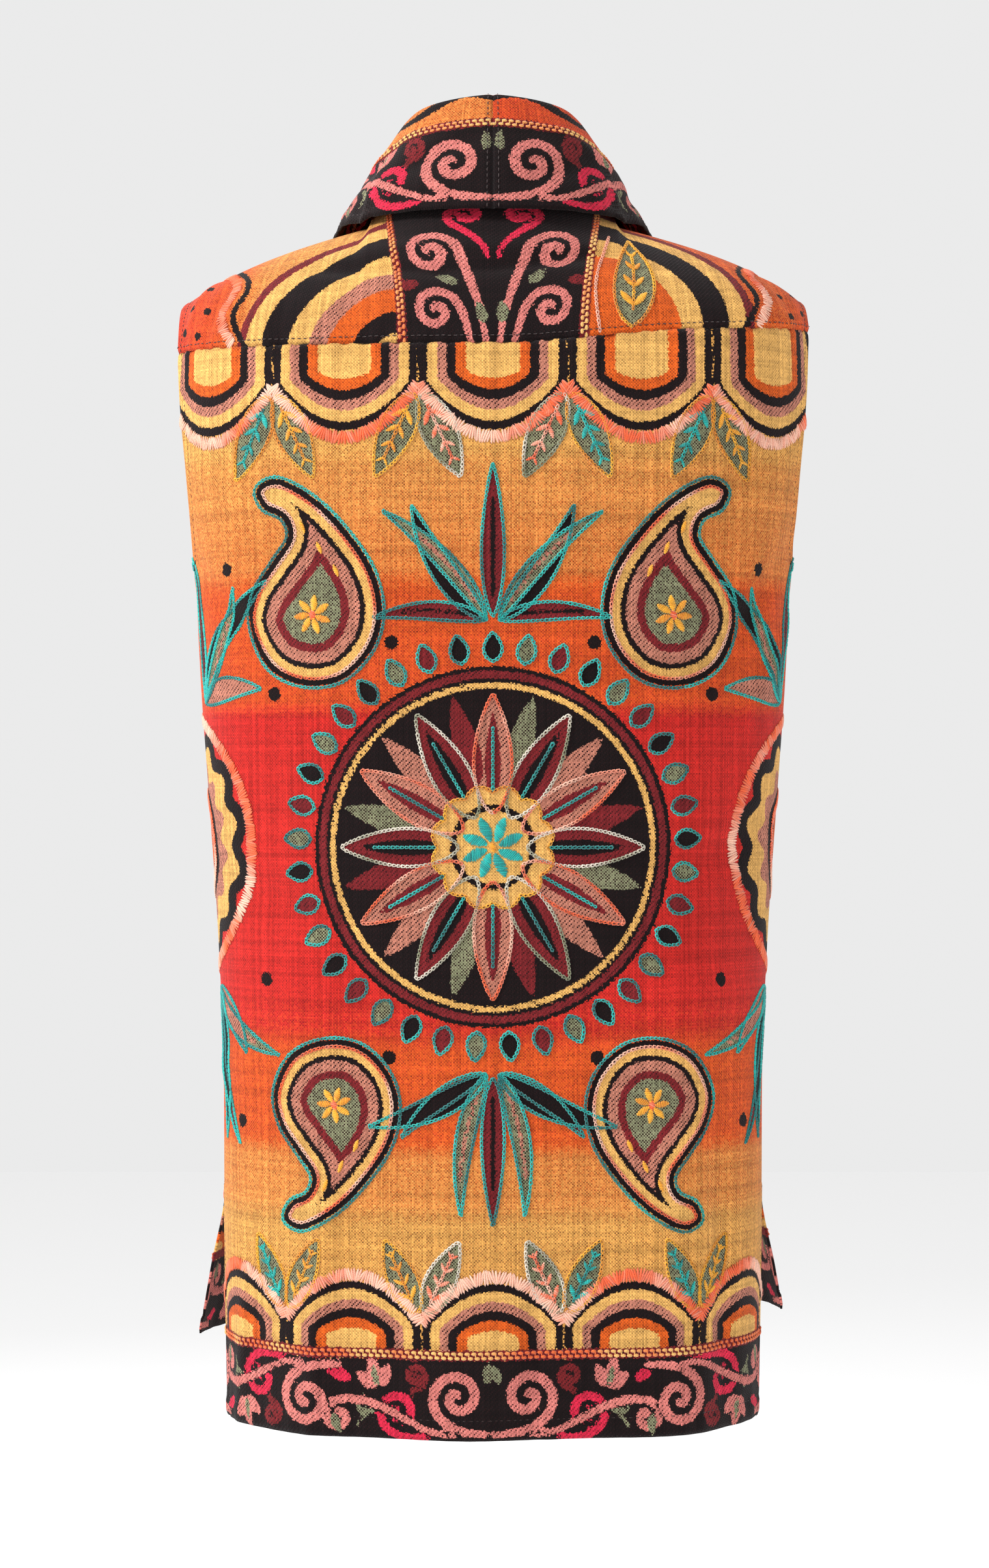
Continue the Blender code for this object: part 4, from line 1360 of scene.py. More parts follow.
def back_design(m):
    """The back: a rosette among drops, leaves and half flowers on shaded ground, over a scroll border."""
    m.ground[:] = SHADING.straight("red", m.flat[:, 1])
    seam = float(BACK_SECTIONS.length(MIDDLE))
    rosette(m, (0, MIDDLE), 0.114)
    leaf_spray(m, (0, -0.270), (0,), (0.096,), CENTRE_LEAF_WIDTH, 0.0)
    leaf_spray(m, (0, -0.560), (180,), (0.092,), CENTRE_LEAF_WIDTH, 0.0)
    for side in (1, -1):
        for spray in rows(SPRAY_COLUMNS, BACK_SPRAYS):
            at = (side * spray.u, spray.h)
            leaf_spray(m, at, spray.turns, spray.lengths, LEAF_WIDTH, flip=side < 0)
        fan(m, (side * seam, MIDDLE), 0.080, -side)
        drops(m, BACK_DROPS, side)
        dots(m, [(side * u, h) for u, h in BACK_DOTS])
    garland(m, -0.124, 5, 0.235, 0.030)
    garland(m, -0.714, 5, 0.225, 0.026, up=-1)
    m.weave("black", m.flat[:, 1] - HEM_BACK - BORDER)
    for side in (1, -1):
        scrollwork(m, lambda u: HEM_BACK, lambda u: HEM_BACK + BORDER, 0.0, 0.24, side)
    stripe = HEM_BACK + BORDER + LADDER_RISE
    m.ladder(np.array([(-0.26, stripe), (0.26, stripe)]))


YOKE_BLOCK = 0.056  # half width of the dark block at centre back
YOKE_SHADING_LEFT = Table(
    ("u", "red"),
    (0.07, 0.00),
    (0.16, 0.20),
    (0.19, 0.60),
    (0.26, 0.90),
)
YOKE_SHADING_RIGHT = Table(
    ("u", "red"),
    (0.07, 0.60),
    (0.09, 0.50),
    (0.20, 0.45),
    (0.26, 0.80),
)
ARC_COLUMNS = ("colour", "radius")
YOKE_ARCS = (
    ("maroon", 0.111),
    ("gold", 0.104),
    ("black", 0.092),
    ("gold", 0.074),
    ("salmon", 0.060),
    ("orange", 0.048),
    ("black", 0.032),
    ("gold", 0.018),
)
RIGHT_ARCS_FROM = 0.060  # the right side has only the arcs that are wider than this
YOKE_BAND = ((0.198, 0.080), (0.178, 0.050), (0.184, 0.022), (0.170, -0.004))
YOKE_DOTS = (
    (0.205, 0.056),
    (0.216, 0.034),
    (0.200, 0.030),
    (0.222, 0.014),
    (0.205, 0.010),
    (0.192, 0.072),
    (0.212, 0.072),
)
YOKE_LEAVES = (
    ("grey", (0.020, 0.038), -50),
    ("maroon", (0.044, 0.040), -100),
    ("grey", (0.006, 0.012), -4),
)


def yoke_design(m):
    """The yoke: scrolls in a dark block at centre back, with banded arcs, dots and a sprig beside it."""
    u = m.flat[:, 0]
    left, right = YOKE_SHADING_LEFT.straight("red", u), YOKE_SHADING_RIGHT.straight("red", -u)
    m.ground[:] = np.where(u > 0, left, right)
    for side in (1, -1):
        heart = (side * 0.060, -0.012 if side > 0 else 0.000)
        for arc in rows(ARC_COLUMNS, YOKE_ARCS):
            if side > 0 or arc.radius > RIGHT_ARCS_FROM:
                m.weave(arc.colour, m.disc(heart, arc.radius))
        if side < 0:
            m.weave("orange", m.disc(heart, RIGHT_ARCS_FROM))
        edge = curve([(side * across, up) for across, up in YOKE_BAND])
        m.weave("black", m.stroke(edge - [side * 0.009, 0], 0.0022))
        m.band(edge, 0.0085)
    sprig(m, (-0.088, 0.004), 6, 0.074, "yellow")
    m.chain("flame", curve(((-0.068, 0.002), (-0.064, 0.040), (-0.072, 0.078))))
    dots(m, [(side * across, up) for side in (1, -1) for across, up in YOKE_DOTS], 0.0034)
    m.weave("black", np.abs(u) - YOKE_BLOCK)
    for side in (1, -1):
        coils(m, YOKE_COILS, lambda x, y: np.array([side * x, y]), 1.0, side, 1)
        for colour, at, turn in YOKE_LEAVES:
            leaf, _ = blade((side * at[0], at[1]), side * turn, 0.015, 0.0075, 0.2)
            m.weave(colour, m.shape(leaf))
        stripe = side * (YOKE_BLOCK + 0.0020)
        m.ladder(np.array([(stripe, -0.01), (stripe, 0.16)]))


EDGE_DOTS = 0.022  # spacing of the small dots in a row along the front edge
EDGE_STRIPE_COLUMNS = ("colour", "near", "far")
EDGE_STRIPES = (
    ("black", 0.0, 0.012),
    ("gold", 0.0138, 0.0170),
)


def front_design(m):
    """A front: a small rosette, drops and leaves like the back's, and a half flower that meets the back's."""
    u, h = m.flat.T
    hem = m.cloth.hem
    m.ground[:] = SHADING.straight("red", h)
    seam = float(FRONT_SECTIONS.length(MIDDLE))
    for spray in rows(SPRAY_COLUMNS, FRONT_SPRAYS):
        leaf_spray(m, (seam - spray.u, spray.h), spray.turns, spray.lengths, FRONT_LEAF_WIDTH)
    rosette(m, (0.076, MIDDLE), 0.044, 8)
    fan(m, (seam, MIDDLE), 0.072, -1)
    drops(m, FRONT_DROPS)
    fan(m, (0.172, -0.118), 0.056, -1)
    for turn, yarn in ((-8, "flame"), (38, "teal"), (84, "yellow")):
        sprig(m, (0.100, -0.205), turn, 0.054, yarn)
    dots(m, FRONT_DOTS)
    for low, high in ((-0.300, -0.180), (-0.640, -0.520)):
        dots(m, [(0.030, y) for y in np.arange(low, high, EDGE_DOTS)], 0.0034)
    garland(m, hem + BORDER + 0.018, 3, 0.123, 0.026, up=-1, start=0.0180)
    m.weave("black", h - hem - BORDER)
    scrollwork(m, lambda a: hem, lambda a: hem + BORDER, 0.012, 0.24)
    for stripe in rows(EDGE_STRIPE_COLUMNS, EDGE_STRIPES):
        m.weave(stripe.colour, np.maximum(stripe.near - u, u - stripe.far))
    along = hem + BORDER + LADDER_RISE
    m.ladder(np.array([(-0.01, along), (0.26, along)]))


STRIP = Table(
    ("u", "width"),
    (0.07, 0.024),
    (0.15, 0.013),
    (0.40, 0.011),
    (0.50, 0.006),
)
INNER_STRIPE_COLUMNS = ("colour", "half_width")
INNER_STRIPES = (
    ("maroon", 0.0085),
    ("gold", 0.0060),
    ("black", 0.0035),
)


def collar_design(m):
    """Half of the collar: scrolls on black, and a bright strip with a golden stripe next to the fold."""
    u, h = m.flat.T
    cloth = m.cloth

    def fold(along):
        """How far up the flat cut the collar folds over."""
        return cloth.across(along) - COLLAR.smooth("stand", np.clip(along / cloth.total, 0, 1))

    def strip_edge(along):
        """How far up the flat cut the bright strip starts."""
        return fold(along) - STRIP.straight("width", along)

    m.ground[:] = 0.30 if cloth.side > 0 else 0.66
    m.weave("black", h - fold(u) + STRIP.straight("width", u))
    ways = np.linspace(0, cloth.total, 120)
    wave = np.stack([ways, fold(ways) - 0.006 + 0.005 * np.sin(ways * 80)], -1)
    m.weave("black", m.stroke(wave, 0.0022 + 0.0012 * np.sin(ways * 40) ** 2))
    inner = np.stack([ways, fold(ways) + 0.034], -1)
    for stripe in rows(INNER_STRIPE_COLUMNS, INNER_STRIPES):
        m.weave(stripe.colour, m.stroke(inner, stripe.half_width))
    scrollwork(m, lambda a: 0.003, lambda a: float(strip_edge(abs(a))) - 0.002, 0.001, cloth.total)
    m.ladder(np.stack([ways, strip_edge(ways) + 0.0005], -1), 0.0050)


DESIGNS = {"back": back_design, "yoke": yoke_design, "front": front_design, "collar": collar_design}


def add(tree, kind, sockets=None, **settings):
    """Adds a node with its settings, sets or links its sockets, and gives its outputs."""
    made = tree.nodes.new(kind)
    for name, value in settings.items():
        setattr(made, name, value)
    for key, value in (sockets or {}).items():
        if isinstance(value, bpy.types.NodeSocket):
            tree.links.new(value, made.inputs[key])
        else:
            made.inputs[key].default_value = value
    return made.outputs


UNDER_THREAD = "#2A1214"


def woven_wool():
    """Fine wool, woven on a jacquard loom: matt, with a dry sheen, plain ground and twilled figures.

    Real threads lie about 0.5 mm apart. They are drawn 1.0 mm apart, so that they show.
    """
    name = "Wool, jacquard woven"
    if name in bpy.data.materials:
        return bpy.data.materials[name]
    sizes, colours = bpy.context.scene.vest_sizes, bpy.context.scene.vest_colours
    material = bpy.data.materials.new(name)
    material.use_nodes = True
    tree = material.node_tree
    tree.nodes.clear()
    flat = add(tree, "ShaderNodeUVMap", uv_map="cut")[0]
    threads = add(tree, "ShaderNodeVectorMath", {0: flat, "Scale": 1 / sizes.thread}, operation="SCALE")[0]
    cell = add(tree, "ShaderNodeVectorMath", {0: threads}, operation="FLOOR")[0]
    within = add(tree, "ShaderNodeVectorMath", {0: threads}, operation="FRACTION")[0]
    chance = add(tree, "ShaderNodeTexWhiteNoise", {"Vector": cell}, noise_dimensions="2D")["Value"]
    jag = add(tree, "ShaderNodeMath", {0: chance, 1: 0.0024, 2: -0.0012}, operation="MULTIPLY_ADD")[0]

    ground = add(tree, "ShaderNodeAttribute", attribute_name="ground")["Fac"]
    loose = add(tree, "ShaderNodeMath", {0: chance, 1: 0.16, 2: ground}, operation="MULTIPLY_ADD")[0]
    ramp = add(tree, "ShaderNodeValToRGB", {0: loose})
    stops = tree.nodes[-1].color_ramp.elements
    stops[0].position, stops[0].color = 0.10, (*colours.field_gold, 1.0)
    stops[1].position, stops[1].color = 1.0, (*colours.field_red, 1.0)
    stops.new(0.55).color = (*colours.field_orange, 1.0)
    face = ramp[0]
    nearest = add(tree, "ShaderNodeAttribute", attribute_name="woven_ground")["Fac"]
    traits = add(tree, "ShaderNodeMapRange", {0: ground, 3: 0.44, 4: 0.32})[0]
    traits = add(tree, "ShaderNodeCombineXYZ", {0: traits})[0]
    for weave in rows(WEAVE_COLUMNS, WEAVES):
        distance = add(tree, "ShaderNodeAttribute", attribute_name=f"woven_{weave.colour}")["Fac"]
        ragged = add(tree, "ShaderNodeMath", {0: nearest, 1: jag}, operation="ADD")[0]
        here = add(tree, "ShaderNodeMath", {0: distance, 1: ragged}, operation="LESS_THAN")[0]
        nearest = add(tree, "ShaderNodeMath", {0: distance, 1: nearest}, operation="MINIMUM")[0]
        shade = (*getattr(colours, weave.colour), 1.0)
        face = add(tree, "ShaderNodeMix", {0: here, 6: face, 7: shade}, data_type="RGBA")[2]
        own = (weave.contrast, weave.twill, 0.0)
        traits = add(tree, "ShaderNodeMix", {0: here, 4: traits, 5: own}, data_type="VECTOR")[1]
    contrast, twill, _ = add(tree, "ShaderNodeSeparateXYZ", {0: traits})
    across, up, _ = add(tree, "ShaderNodeSeparateXYZ", {0: cell})
    diagonal = add(tree, "ShaderNodeMath", {0: across, 1: up}, operation="ADD")[0]
    plain = add(tree, "ShaderNodeMath", {0: diagonal, 1: 2.0}, operation="FLOORED_MODULO")[0]
    slanted = add(tree, "ShaderNodeMath", {0: diagonal, 1: 3.0}, operation="FLOORED_MODULO")[0]
    slanted = add(tree, "ShaderNodeMath", {0: slanted, 1: 1.5}, operation="GREATER_THAN")[0]
    over = add(tree, "ShaderNodeMix", {0: twill, 2: plain, 3: slanted})[0]
    fleck = add(tree, "ShaderNodeMath", {0: over, 1: contrast}, operation="MULTIPLY")[0]
    uneven = add(tree, "ShaderNodeMapRange", {0: chance, 3: 0.20, 4: 1.55})[0]
    fleck = add(tree, "ShaderNodeMath", {0: fleck, 1: uneven}, operation="MULTIPLY")[0]
    dark = (*linear(UNDER_THREAD), 1.0)
    cloth = add(tree, "ShaderNodeMix", {0: fleck, 6: face, 7: dark}, data_type="RGBA")[2]

    # Every warp and weft thread has its own tone, slubs run along the warp, and batches of weft differ
    tones = []
    for thread, least in ((across, 0.84), (up, 0.91)):
        own = add(tree, "ShaderNodeTexWhiteNoise", {"W": thread}, noise_dimensions="1D")["Value"]
        tones.append(add(tree, "ShaderNodeMapRange", {0: own, 3: least, 4: 2.0 - least})[0])
    threads_tone = add(tree, "ShaderNodeMath", {0: tones[0], 1: tones[1]}, operation="MULTIPLY")[0]
    stretched = add(tree, "ShaderNodeMapping", {0: flat, 3: (420.0, 14.0, 1.0)})[0]
    slub = add(tree, "ShaderNodeTexNoise", {"Vector": stretched, "Scale": 1.0, "Detail": 2.0})["Fac"]
    laid = add(tree, "ShaderNodeMapping", {0: flat, 3: (5.0, 160.0, 1.0)})[0]
    batch = add(tree, "ShaderNodeTexNoise", {"Vector": laid, "Scale": 1.0, "Detail": 1.0})["Fac"]
    tone = add(tree, "ShaderNodeMath", {0: slub, 1: batch}, operation="ADD")[0]
    tone = add(tree, "ShaderNodeMapRange", {0: tone, 1: 0.6, 2: 1.4, 3: 0.74, 4: 1.22})[0]
    tone = add(tree, "ShaderNodeMath", {0: tone, 1: threads_tone}, operation="MULTIPLY")[0]
    cloth = add(tree, "ShaderNodeHueSaturation", {"Value": tone, "Color": cloth})[0]

    x, y, _ = add(tree, "ShaderNodeSeparateXYZ", {0: within})
    humps = []
    for part in (x, y):
        angle = add(tree, "ShaderNodeMath", {0: part, 1: np.pi}, operation="MULTIPLY")[0]
        humps.append(add(tree, "ShaderNodeMath", {0: angle}, operation="SINE")[0])
    height = add(tree, "ShaderNodeMix", {0: over, 2: humps[0], 3: humps[1]})[0]
    bump = add(tree, "ShaderNodeBump", {"Height": height, "Strength": 0.55, "Distance": 0.00045})[0]
    shader = add(
        tree,
        "ShaderNodeBsdfPrincipled",
        {
            "Base Color": cloth,
            "Roughness": 0.88,
            "Specular IOR Level": 0.12,
            "Sheen Weight": 0.08,
            "Sheen Roughness": 0.45,
            "Normal": bump,
        },
    )[0]
    add(tree, "ShaderNodeOutputMaterial", {0: shader})
    return material


def embroidery_yarn():
    """Softly spun acrylic embroidery yarn, dyed in stretches: brighter and a little glossier than the cloth.

    Its fibres are far below a pixel, and are drawn as a fine grain about 0.5 mm long.
    """
    name = "Embroidery yarn, acrylic, spun and stretch dyed"
    if name in bpy.data.materials:
        return bpy.data.materials[name]
    material = bpy.data.materials.new(name)
    material.use_nodes = True
    tree = material.node_tree
    tree.nodes.clear()
    dyed = add(tree, "ShaderNodeAttribute", attribute_name="thread")["Color"]
    place = add(tree, "ShaderNodeTexCoord")["Object"]
    grain = add(tree, "ShaderNodeTexNoise", {"Vector": place, "Scale": 2000.0, "Detail": 2.0})["Fac"]
    tone = add(tree, "ShaderNodeMapRange", {0: grain, 1: 0.3, 2: 0.7, 3: 0.74, 4: 1.18})[0]
    colour = add(tree, "ShaderNodeHueSaturation", {"Value": tone, "Color": dyed})[0]
    bump = add(tree, "ShaderNodeBump", {"Height": grain, "Strength": 0.35, "Distance": 0.0003})[0]
    shader = add(
        tree,
        "ShaderNodeBsdfPrincipled",
        {
            "Base Color": colour,
            "Roughness": 0.62,
            "Sheen Weight": 0.30,
            "Sheen Roughness": 0.4,
            "Normal": bump,
        },
    )[0]
    add(tree, "ShaderNodeOutputMaterial", {0: shader})
    return material


def read(items, what, width=1, kind=np.float32):
    """One value of every item of a mesh, as an array."""
    values = np.empty(len(items) * width, kind)
    items.foreach_get(what, values)
    return values.reshape(-1, width) if width > 1 else values


def shown(mesh, material, replaced=None):
    """Makes a mesh a piece of the vest that rides on its only body."""
    mesh.materials.append(material)
    mesh.shade_smooth()
    piece = bpy.data.objects.new(mesh.name, mesh)
    bpy.context.scene.collection.objects.link(piece)
    if replaced:
        wall = piece.modifiers.new("wall", "SOLIDIFY")
        wall.thickness = bpy.context.scene.vest_sizes.wall
        wall.offset = -1.0
        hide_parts(replaced)
    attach(piece, "root")
    return piece


WORK = {}


def make_cloth(cloth, kind):
    """Weaves one piece of cloth: a fine grid on its worn form, with its flat cut and its motifs."""
    wide, high = cloth.cells
    bm = bmesh.new()
    bmesh.ops.create_grid(bm, x_segments=wide, y_segments=high, size=0.5)
    mesh = bpy.data.meshes.new(f"{cloth.name}_cloth")
    bm.to_mesh(mesh)
    bm.free()
    square = read(mesh.vertices, "co", 3) + 0.5
    if len(square) != (wide + 1) * (high + 1):
        raise RuntimeError(f"{cloth.name}: the grid has {len(square)} vertices")
    a = np.round(square[:, 0] * wide) / wide
    b = 1 - np.round(square[:, 1] * high) / high
    u, h = cloth.cut(a, b)
    points, _, _, out = cloth.frames(u, h)
    mesh.vertices.foreach_set("co", points.astype(np.float32).ravel())
    mesh.update()
    normals = read(mesh.vertices, "normal", 3)
    if (normals * out).sum(axis=1).mean() < 0:
        mesh.flip_normals()
    flat = np.stack([u * cloth.side, h], axis=-1)
    corners = read(mesh.loops, "vertex_index", kind=np.int32)
    cut = mesh.uv_layers.new(name="cut")
    cut.data.foreach_set("uv", flat[corners].astype(np.float32).ravel())
    work = Motifs(cloth, np.stack([u, h], axis=-1))
    DESIGNS[kind](work)
    for colour, field in work.fields.items():
        layer = mesh.attributes.new(f"woven_{colour}", "FLOAT", "POINT")
        layer.data.foreach_set("value", field.astype(np.float32))
    layer = mesh.attributes.new("ground", "FLOAT", "POINT")
    layer.data.foreach_set("value", work.ground.astype(np.float32))
    WORK[cloth.name] = work
    return shown(mesh, woven_wool(), cloth.name)


def chain_link():
    """One open chain stitch, lying along x: a ring of yarn that narrows where it starts."""
    bm = bmesh.new()
    bmesh.ops.create_circle(bm, segments=3, radius=0.22)
    bmesh.ops.rotate(bm, verts=bm.verts, matrix=Matrix.Rotation(np.pi / 2, 3, "X"))
    bmesh.ops.translate(bm, verts=bm.verts, vec=(0.31, 0, 0))
    ring = bm.verts[:] + bm.edges[:]
    bmesh.ops.spin(bm, geom=ring, axis=(0, 0, 1), angle=2 * np.pi, steps=6, use_merge=True)
    for vertex in bm.verts:
        vertex.co.y *= 0.80 + 0.5 * vertex.co.x
    bmesh.ops.recalc_face_normals(bm, faces=bm.faces)
    mesh = bpy.data.meshes.new("chain_link")
    bm.to_mesh(mesh)
    bm.free()
    return mesh


def straight_stitch():
    """One straight stitch, lying along x: a spindle of yarn."""
    bm = bmesh.new()
    bmesh.ops.create_uvsphere(bm, u_segments=4, v_segments=4, radius=0.5)
    bmesh.ops.rotate(bm, verts=bm.verts, matrix=Matrix.Rotation(np.pi / 2, 3, "Y"))
    mesh = bpy.data.meshes.new("straight_stitch")
    bm.to_mesh(mesh)
    bm.free()
    return mesh


EDGE_MARGIN = 0.0012  # stitches that lie nearer to the edge of the cloth are left out
CHAIN_LIFT = 0.00030  # height of a stitch's middle over the cloth
STITCH_LIFT = 0.00025
MOST_RAISED = 0.0014


def stitched(name, template, work, yarns, points, angle, sizes, lift, shade):
    """One mesh with a copy of a stitch at each place of the cloth, dyed in its yarn's two colours."""
    inside = work.cloth.room(*points.T) > np.minimum(EDGE_MARGIN, sizes[:, 0] * 0.2)
    yarns, points, angle, sizes, shade = (v[inside] for v in (yarns, points, angle, sizes, shade))
    place, across, up, out = work.cloth.frames(*points.T)
    along = unit(across * np.cos(angle)[:, None] + up * np.sin(angle)[:, None])
    axes = np.stack([along, np.cross(out, along), out], axis=1)
    shape = read(template.vertices, "co", 3)
    corners = read(template.loops, "vertex_index", kind=np.int32)
    starts = read(template.polygons, "loop_start", kind=np.int32)
    n, k = len(points), len(shape)
    local = shape[None] * sizes[:, None]
    local[..., 2] += lift
    co = place[:, None] + local @ axes
    mesh = bpy.data.meshes.new(name)
    mesh.vertices.add(n * k)
    mesh.loops.add(n * len(corners))
    mesh.polygons.add(n * len(starts))
    mesh.vertices.foreach_set("co", co.astype(np.float32).ravel())
    copies = np.arange(n, dtype=np.int32)[:, None]
    mesh.loops.foreach_set("vertex_index", (corners + copies * k).ravel())
    mesh.polygons.foreach_set("loop_start", (starts + copies * len(corners)).ravel())
    mesh.update(calc_edges=True)
    mesh.validate()
    colours = bpy.context.scene.vest_colours
    dyes = {y: np.array([getattr(colours, c) for c in pair]) for y, pair in YARNS.items()}
    pairs = np.array([dyes[y] for y in yarns])
    tone = pairs[:, 0] + (pairs[:, 1] - pairs[:, 0]) * shade[:, None]
    tone = np.clip(tone * work.random.normal(1.0, 0.06, (n, 1)), 0, 1)
    layer = mesh.attributes.new("thread", "FLOAT_COLOR", "POINT")
    full = np.concatenate([tone, np.ones((n, 1))], axis=1)
    layer.data.foreach_set("color", np.repeat(full, k, axis=0).astype(np.float32).ravel())
    return shown(mesh, embroidery_yarn())


YARNS = {
    "teal": ("teal", "deep_teal"),
    "flame": ("flame", "pale"),
    "yellow": ("yellow", "amber"),
    "bone": ("bone", "grey"),
    "honey": ("gold", "orange"),
    "sewing": ("sewing", "black"),
}


def gathered(groups):
    """Lists of stitches as one array for each of their values."""
    yarns = np.concatenate([[g[0]] * len(g[1]) for g in groups])
    return [yarns, *(np.concatenate([g[k] for g in groups]) for k in range(1, len(groups[0])))]


class VEST_OT_back(bpy.types.Operator):
    """Weave the back"""

    bl_idname = "vest.back"
    bl_label = "Back"

    def execute(self, context):
        make_cloth(Back(), "back")
        return {"FINISHED"}


class VEST_OT_yoke(bpy.types.Operator):
    """Weave the yoke"""

    bl_idname = "vest.yoke"
    bl_label = "Yoke"

    def execute(self, context):
        make_cloth(Yoke(), "yoke")
        return {"FINISHED"}


class VEST_OT_fronts(bpy.types.Operator):
    """Weave the two fronts"""

    bl_idname = "vest.fronts"
    bl_label = "Fronts"

    def execute(self, context):
        make_cloth(Front("front_left", HEM_LEFT_FRONT, LEFT_FOLDS, 1), "front")
        make_cloth(Front("front_right", HEM_RIGHT_FRONT, RIGHT_FOLDS, -1), "front")
        return {"FINISHED"}


class VEST_OT_collar(bpy.types.Operator):
    """Weave the two halves of the shawl collar"""

    bl_idname = "vest.collar"
    bl_label = "Collar"

    def execute(self, context):
        make_cloth(Collar("collar_left", HEM_LEFT_FRONT, LEFT_FOLDS, 1), "collar")
        make_cloth(Collar("collar_right", HEM_RIGHT_FRONT, RIGHT_FOLDS, -1), "collar")
        return {"FINISHED"}


class VEST_OT_chains(bpy.types.Operator):
    """Embroider the outlines in chain stitch"""

    bl_idname = "vest.chains"
    bl_label = "Chain stitch"

    def execute(self, context):
        sizes = context.scene.vest_sizes
        link = chain_link()
        for name, work in WORK.items():
            if work.links:
                yarns, points, angle, size, shade = gathered(work.links)
                loop = np.array([sizes.link * 1.12, sizes.link_width * 1.1, sizes.link_width * 0.95])
                full = size[:, None] * loop
                stitched(f"{name}_chain", link, work, yarns, points, angle, full, CHAIN_LIFT, shade)
        return {"FINISHED"}


class VEST_OT_stitches(bpy.types.Operator):
    """Sew bands, satin leaves, stripes and seams in straight stitches"""

    bl_idname = "vest.stitches"
    bl_label = "Straight stitches"

    def execute(self, context):
        spindle = straight_stitch()
        for name, work in WORK.items():
            edge_stitches(work)
            yarns, points, angle, long, thick, shade = gathered(work.bars)
            full = np.stack([long, thick, np.minimum(thick * 0.9, MOST_RAISED)], axis=-1)
            stitched(f"{name}_stitches", spindle, work, yarns, points, angle, full, STITCH_LIFT, shade)
        return {"FINISHED"}


def side_inset(h):
    """How far in from a side edge its stitches lie, by the height of the armhole, the seam or the vent."""
    by_edge = np.where(h < VENT_TOP, HEM_STITCH, ARMHOLE_STITCH)
    return np.where((h < SIDE_TOP) & (h > VENT_TOP), SIDE_STITCH, by_edge)


def edge_stitches(work):
    """The dark running stitches along one piece's turned edges and seams."""
    cloth, t = work.cloth, np.linspace(0, 1, 200)
    start, end = np.zeros(200), np.ones(200)

    def run(u, h):
        work.running(np.stack([u, h], -1))

    if isinstance(cloth, Back):
        u, h = cloth.cut(t, end)
        run(u, h + HEM_STITCH)
        u, h = cloth.cut(start, t)
        run(u + side_inset(h), h)
        u, h = cloth.cut(end, t)
        run(u - side_inset(h), h)
    elif isinstance(cloth, Yoke):
        run((2 * t - 1) * YOKE_HALF_LENGTH, start + YOKE_STITCH)
        run(start + ARMHOLE_STITCH - YOKE_HALF_LENGTH, t * 0.15)
        run(start + YOKE_HALF_LENGTH - ARMHOLE_STITCH, t * 0.15)
    elif isinstance(cloth, Front):
        u, h = cloth.cut(t, end)
        run(u, h + HEM_STITCH)
        u, h = cloth.cut(start, t)
        run(u + HEM_STITCH, h)
        u, h = cloth.cut(end, t)
        run(u - side_inset(h), h)
        u, h = cloth.cut(t, start)
        run(u, h - SHOULDER_STITCH)
    else:
        run(t * cloth.total, start + COLLAR_STITCH)
        run(start + CENTRE_STITCH, t * 0.2)


PHOTO_HEIGHT = 2408  # in pixels, like the focal length
FOCAL_LENGTH = 4655
SENSOR = 36.0
CAMERA = (-0.001, 2.010, -0.375)
AIM = (0.0, 0.0, -0.4)
LAMP_COLUMNS = ("name", "at", "size", "watts")
LAMPS = (
    ("key", (2.3, 1.1, 1.3), 0.7, 84.0),
    ("fill", (-1.4, 2.4, 0.3), 1.8, 6.0),
    ("top", (0.0, -0.4, 2.0), 1.6, 10.0),
    ("front", (0.9, -2.4, 0.9), 1.6, 24.0),
)


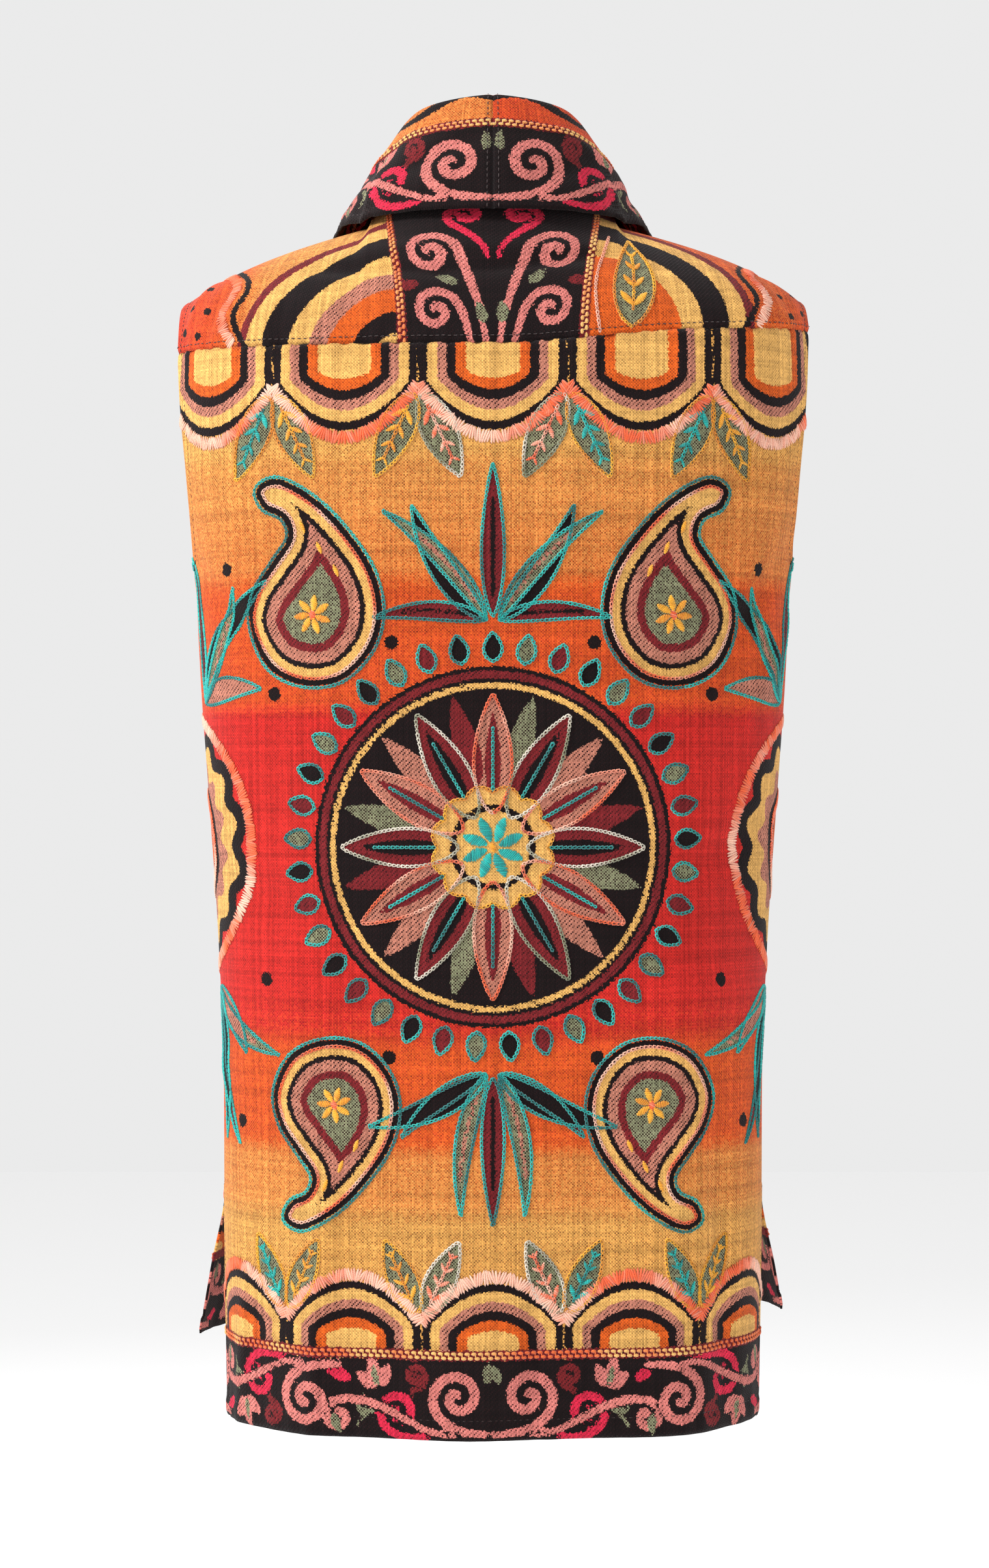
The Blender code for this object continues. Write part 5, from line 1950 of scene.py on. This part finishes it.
class VEST_OT_stage(bpy.types.Operator):
    """Set up floor, light and camera"""

    bl_idname = "vest.stage"
    bl_label = "Stage"

    def execute(self, context):
        scene = context.scene
        bm = bmesh.new()
        bmesh.ops.create_grid(bm, x_segments=1, y_segments=1, size=6.0)
        bmesh.ops.translate(bm, verts=bm.verts, vec=(0, 0, FLOOR))
        mesh = bpy.data.meshes.new("floor")
        bm.to_mesh(mesh)
        bm.free()
        # Coated paper, matt: an even white without gloss, on which only soft shadows show
        paper = bpy.data.materials.new("Paper, matt white coated")
        paper.use_nodes = True
        coat = paper.node_tree.nodes["Principled BSDF"]
        coat.inputs["Base Color"].default_value = (*linear("#FCFCFC"), 1.0)
        coat.inputs["Roughness"].default_value = 0.9
        mesh.materials.append(paper)
        floor = bpy.data.objects.new("floor", mesh)
        scene.collection.objects.link(floor)
        world = bpy.data.worlds.new("Soft white studio")
        scene.world = world
        world.use_nodes = True
        sky = world.node_tree.nodes["Background"]
        sky.inputs["Color"].default_value = (*linear("#F6F6F6"), 1.0)
        sky.inputs["Strength"].default_value = 0.90
        for row in rows(LAMP_COLUMNS, LAMPS):
            light = bpy.data.lights.new(row.name, "AREA")
            light.size, light.energy = row.size, row.watts
            lamp = bpy.data.objects.new(row.name, light)
            lamp.location = row.at
            way = Vector(AIM) - Vector(row.at)
            lamp.rotation_euler = way.to_track_quat("-Z", "Y").to_euler()
            scene.collection.objects.link(lamp)
        lens = bpy.data.cameras.new("camera")
        lens.sensor_width, lens.lens = SENSOR, SENSOR * FOCAL_LENGTH / PHOTO_HEIGHT
        lens.clip_start, lens.clip_end = 0.05, 60.0
        camera = bpy.data.objects.new("camera", lens)
        camera.location = CAMERA
        camera.rotation_euler = (np.pi / 2, 0.0, np.pi)
        scene.collection.objects.link(camera)
        scene.camera = camera
        scene.view_settings.view_transform = "Standard"
        return {"FINISHED"}


class VEST_PT_panel(bpy.types.Panel):
    """Steps that build the vest"""

    bl_label = "Vest"
    bl_idname = "VEST_PT_panel"
    bl_space_type = "VIEW_3D"
    bl_region_type = "UI"
    bl_category = "Vest"

    def draw(self, context):
        for operator in OPERATORS:
            self.layout.operator(operator.bl_idname)
        for group in (context.scene.vest_sizes, context.scene.vest_colours):
            for name in group.bl_rna.properties.keys():
                if name not in ("rna_type", "name"):
                    self.layout.prop(group, name)


OPERATORS = (
    VEST_OT_back,
    VEST_OT_yoke,
    VEST_OT_fronts,
    VEST_OT_collar,
    VEST_OT_chains,
    VEST_OT_stitches,
    VEST_OT_stage,
)
CLASSES = (VestSizes, VestColours, *OPERATORS, VEST_PT_panel)


def register():
    for item in CLASSES:
        bpy.utils.register_class(item)
    bpy.types.Scene.vest_sizes = bpy.props.PointerProperty(type=VestSizes)
    bpy.types.Scene.vest_colours = bpy.props.PointerProperty(type=VestColours)


def unregister():
    del bpy.types.Scene.vest_colours
    del bpy.types.Scene.vest_sizes
    for item in reversed(CLASSES):
        bpy.utils.unregister_class(item)


def main():
    register()
    bpy.ops.vest.back()
    bpy.ops.vest.yoke()
    bpy.ops.vest.fronts()
    bpy.ops.vest.collar()
    bpy.ops.vest.chains()
    bpy.ops.vest.stitches()
    bpy.ops.vest.stage()


if __name__ == "__main__":
    main()
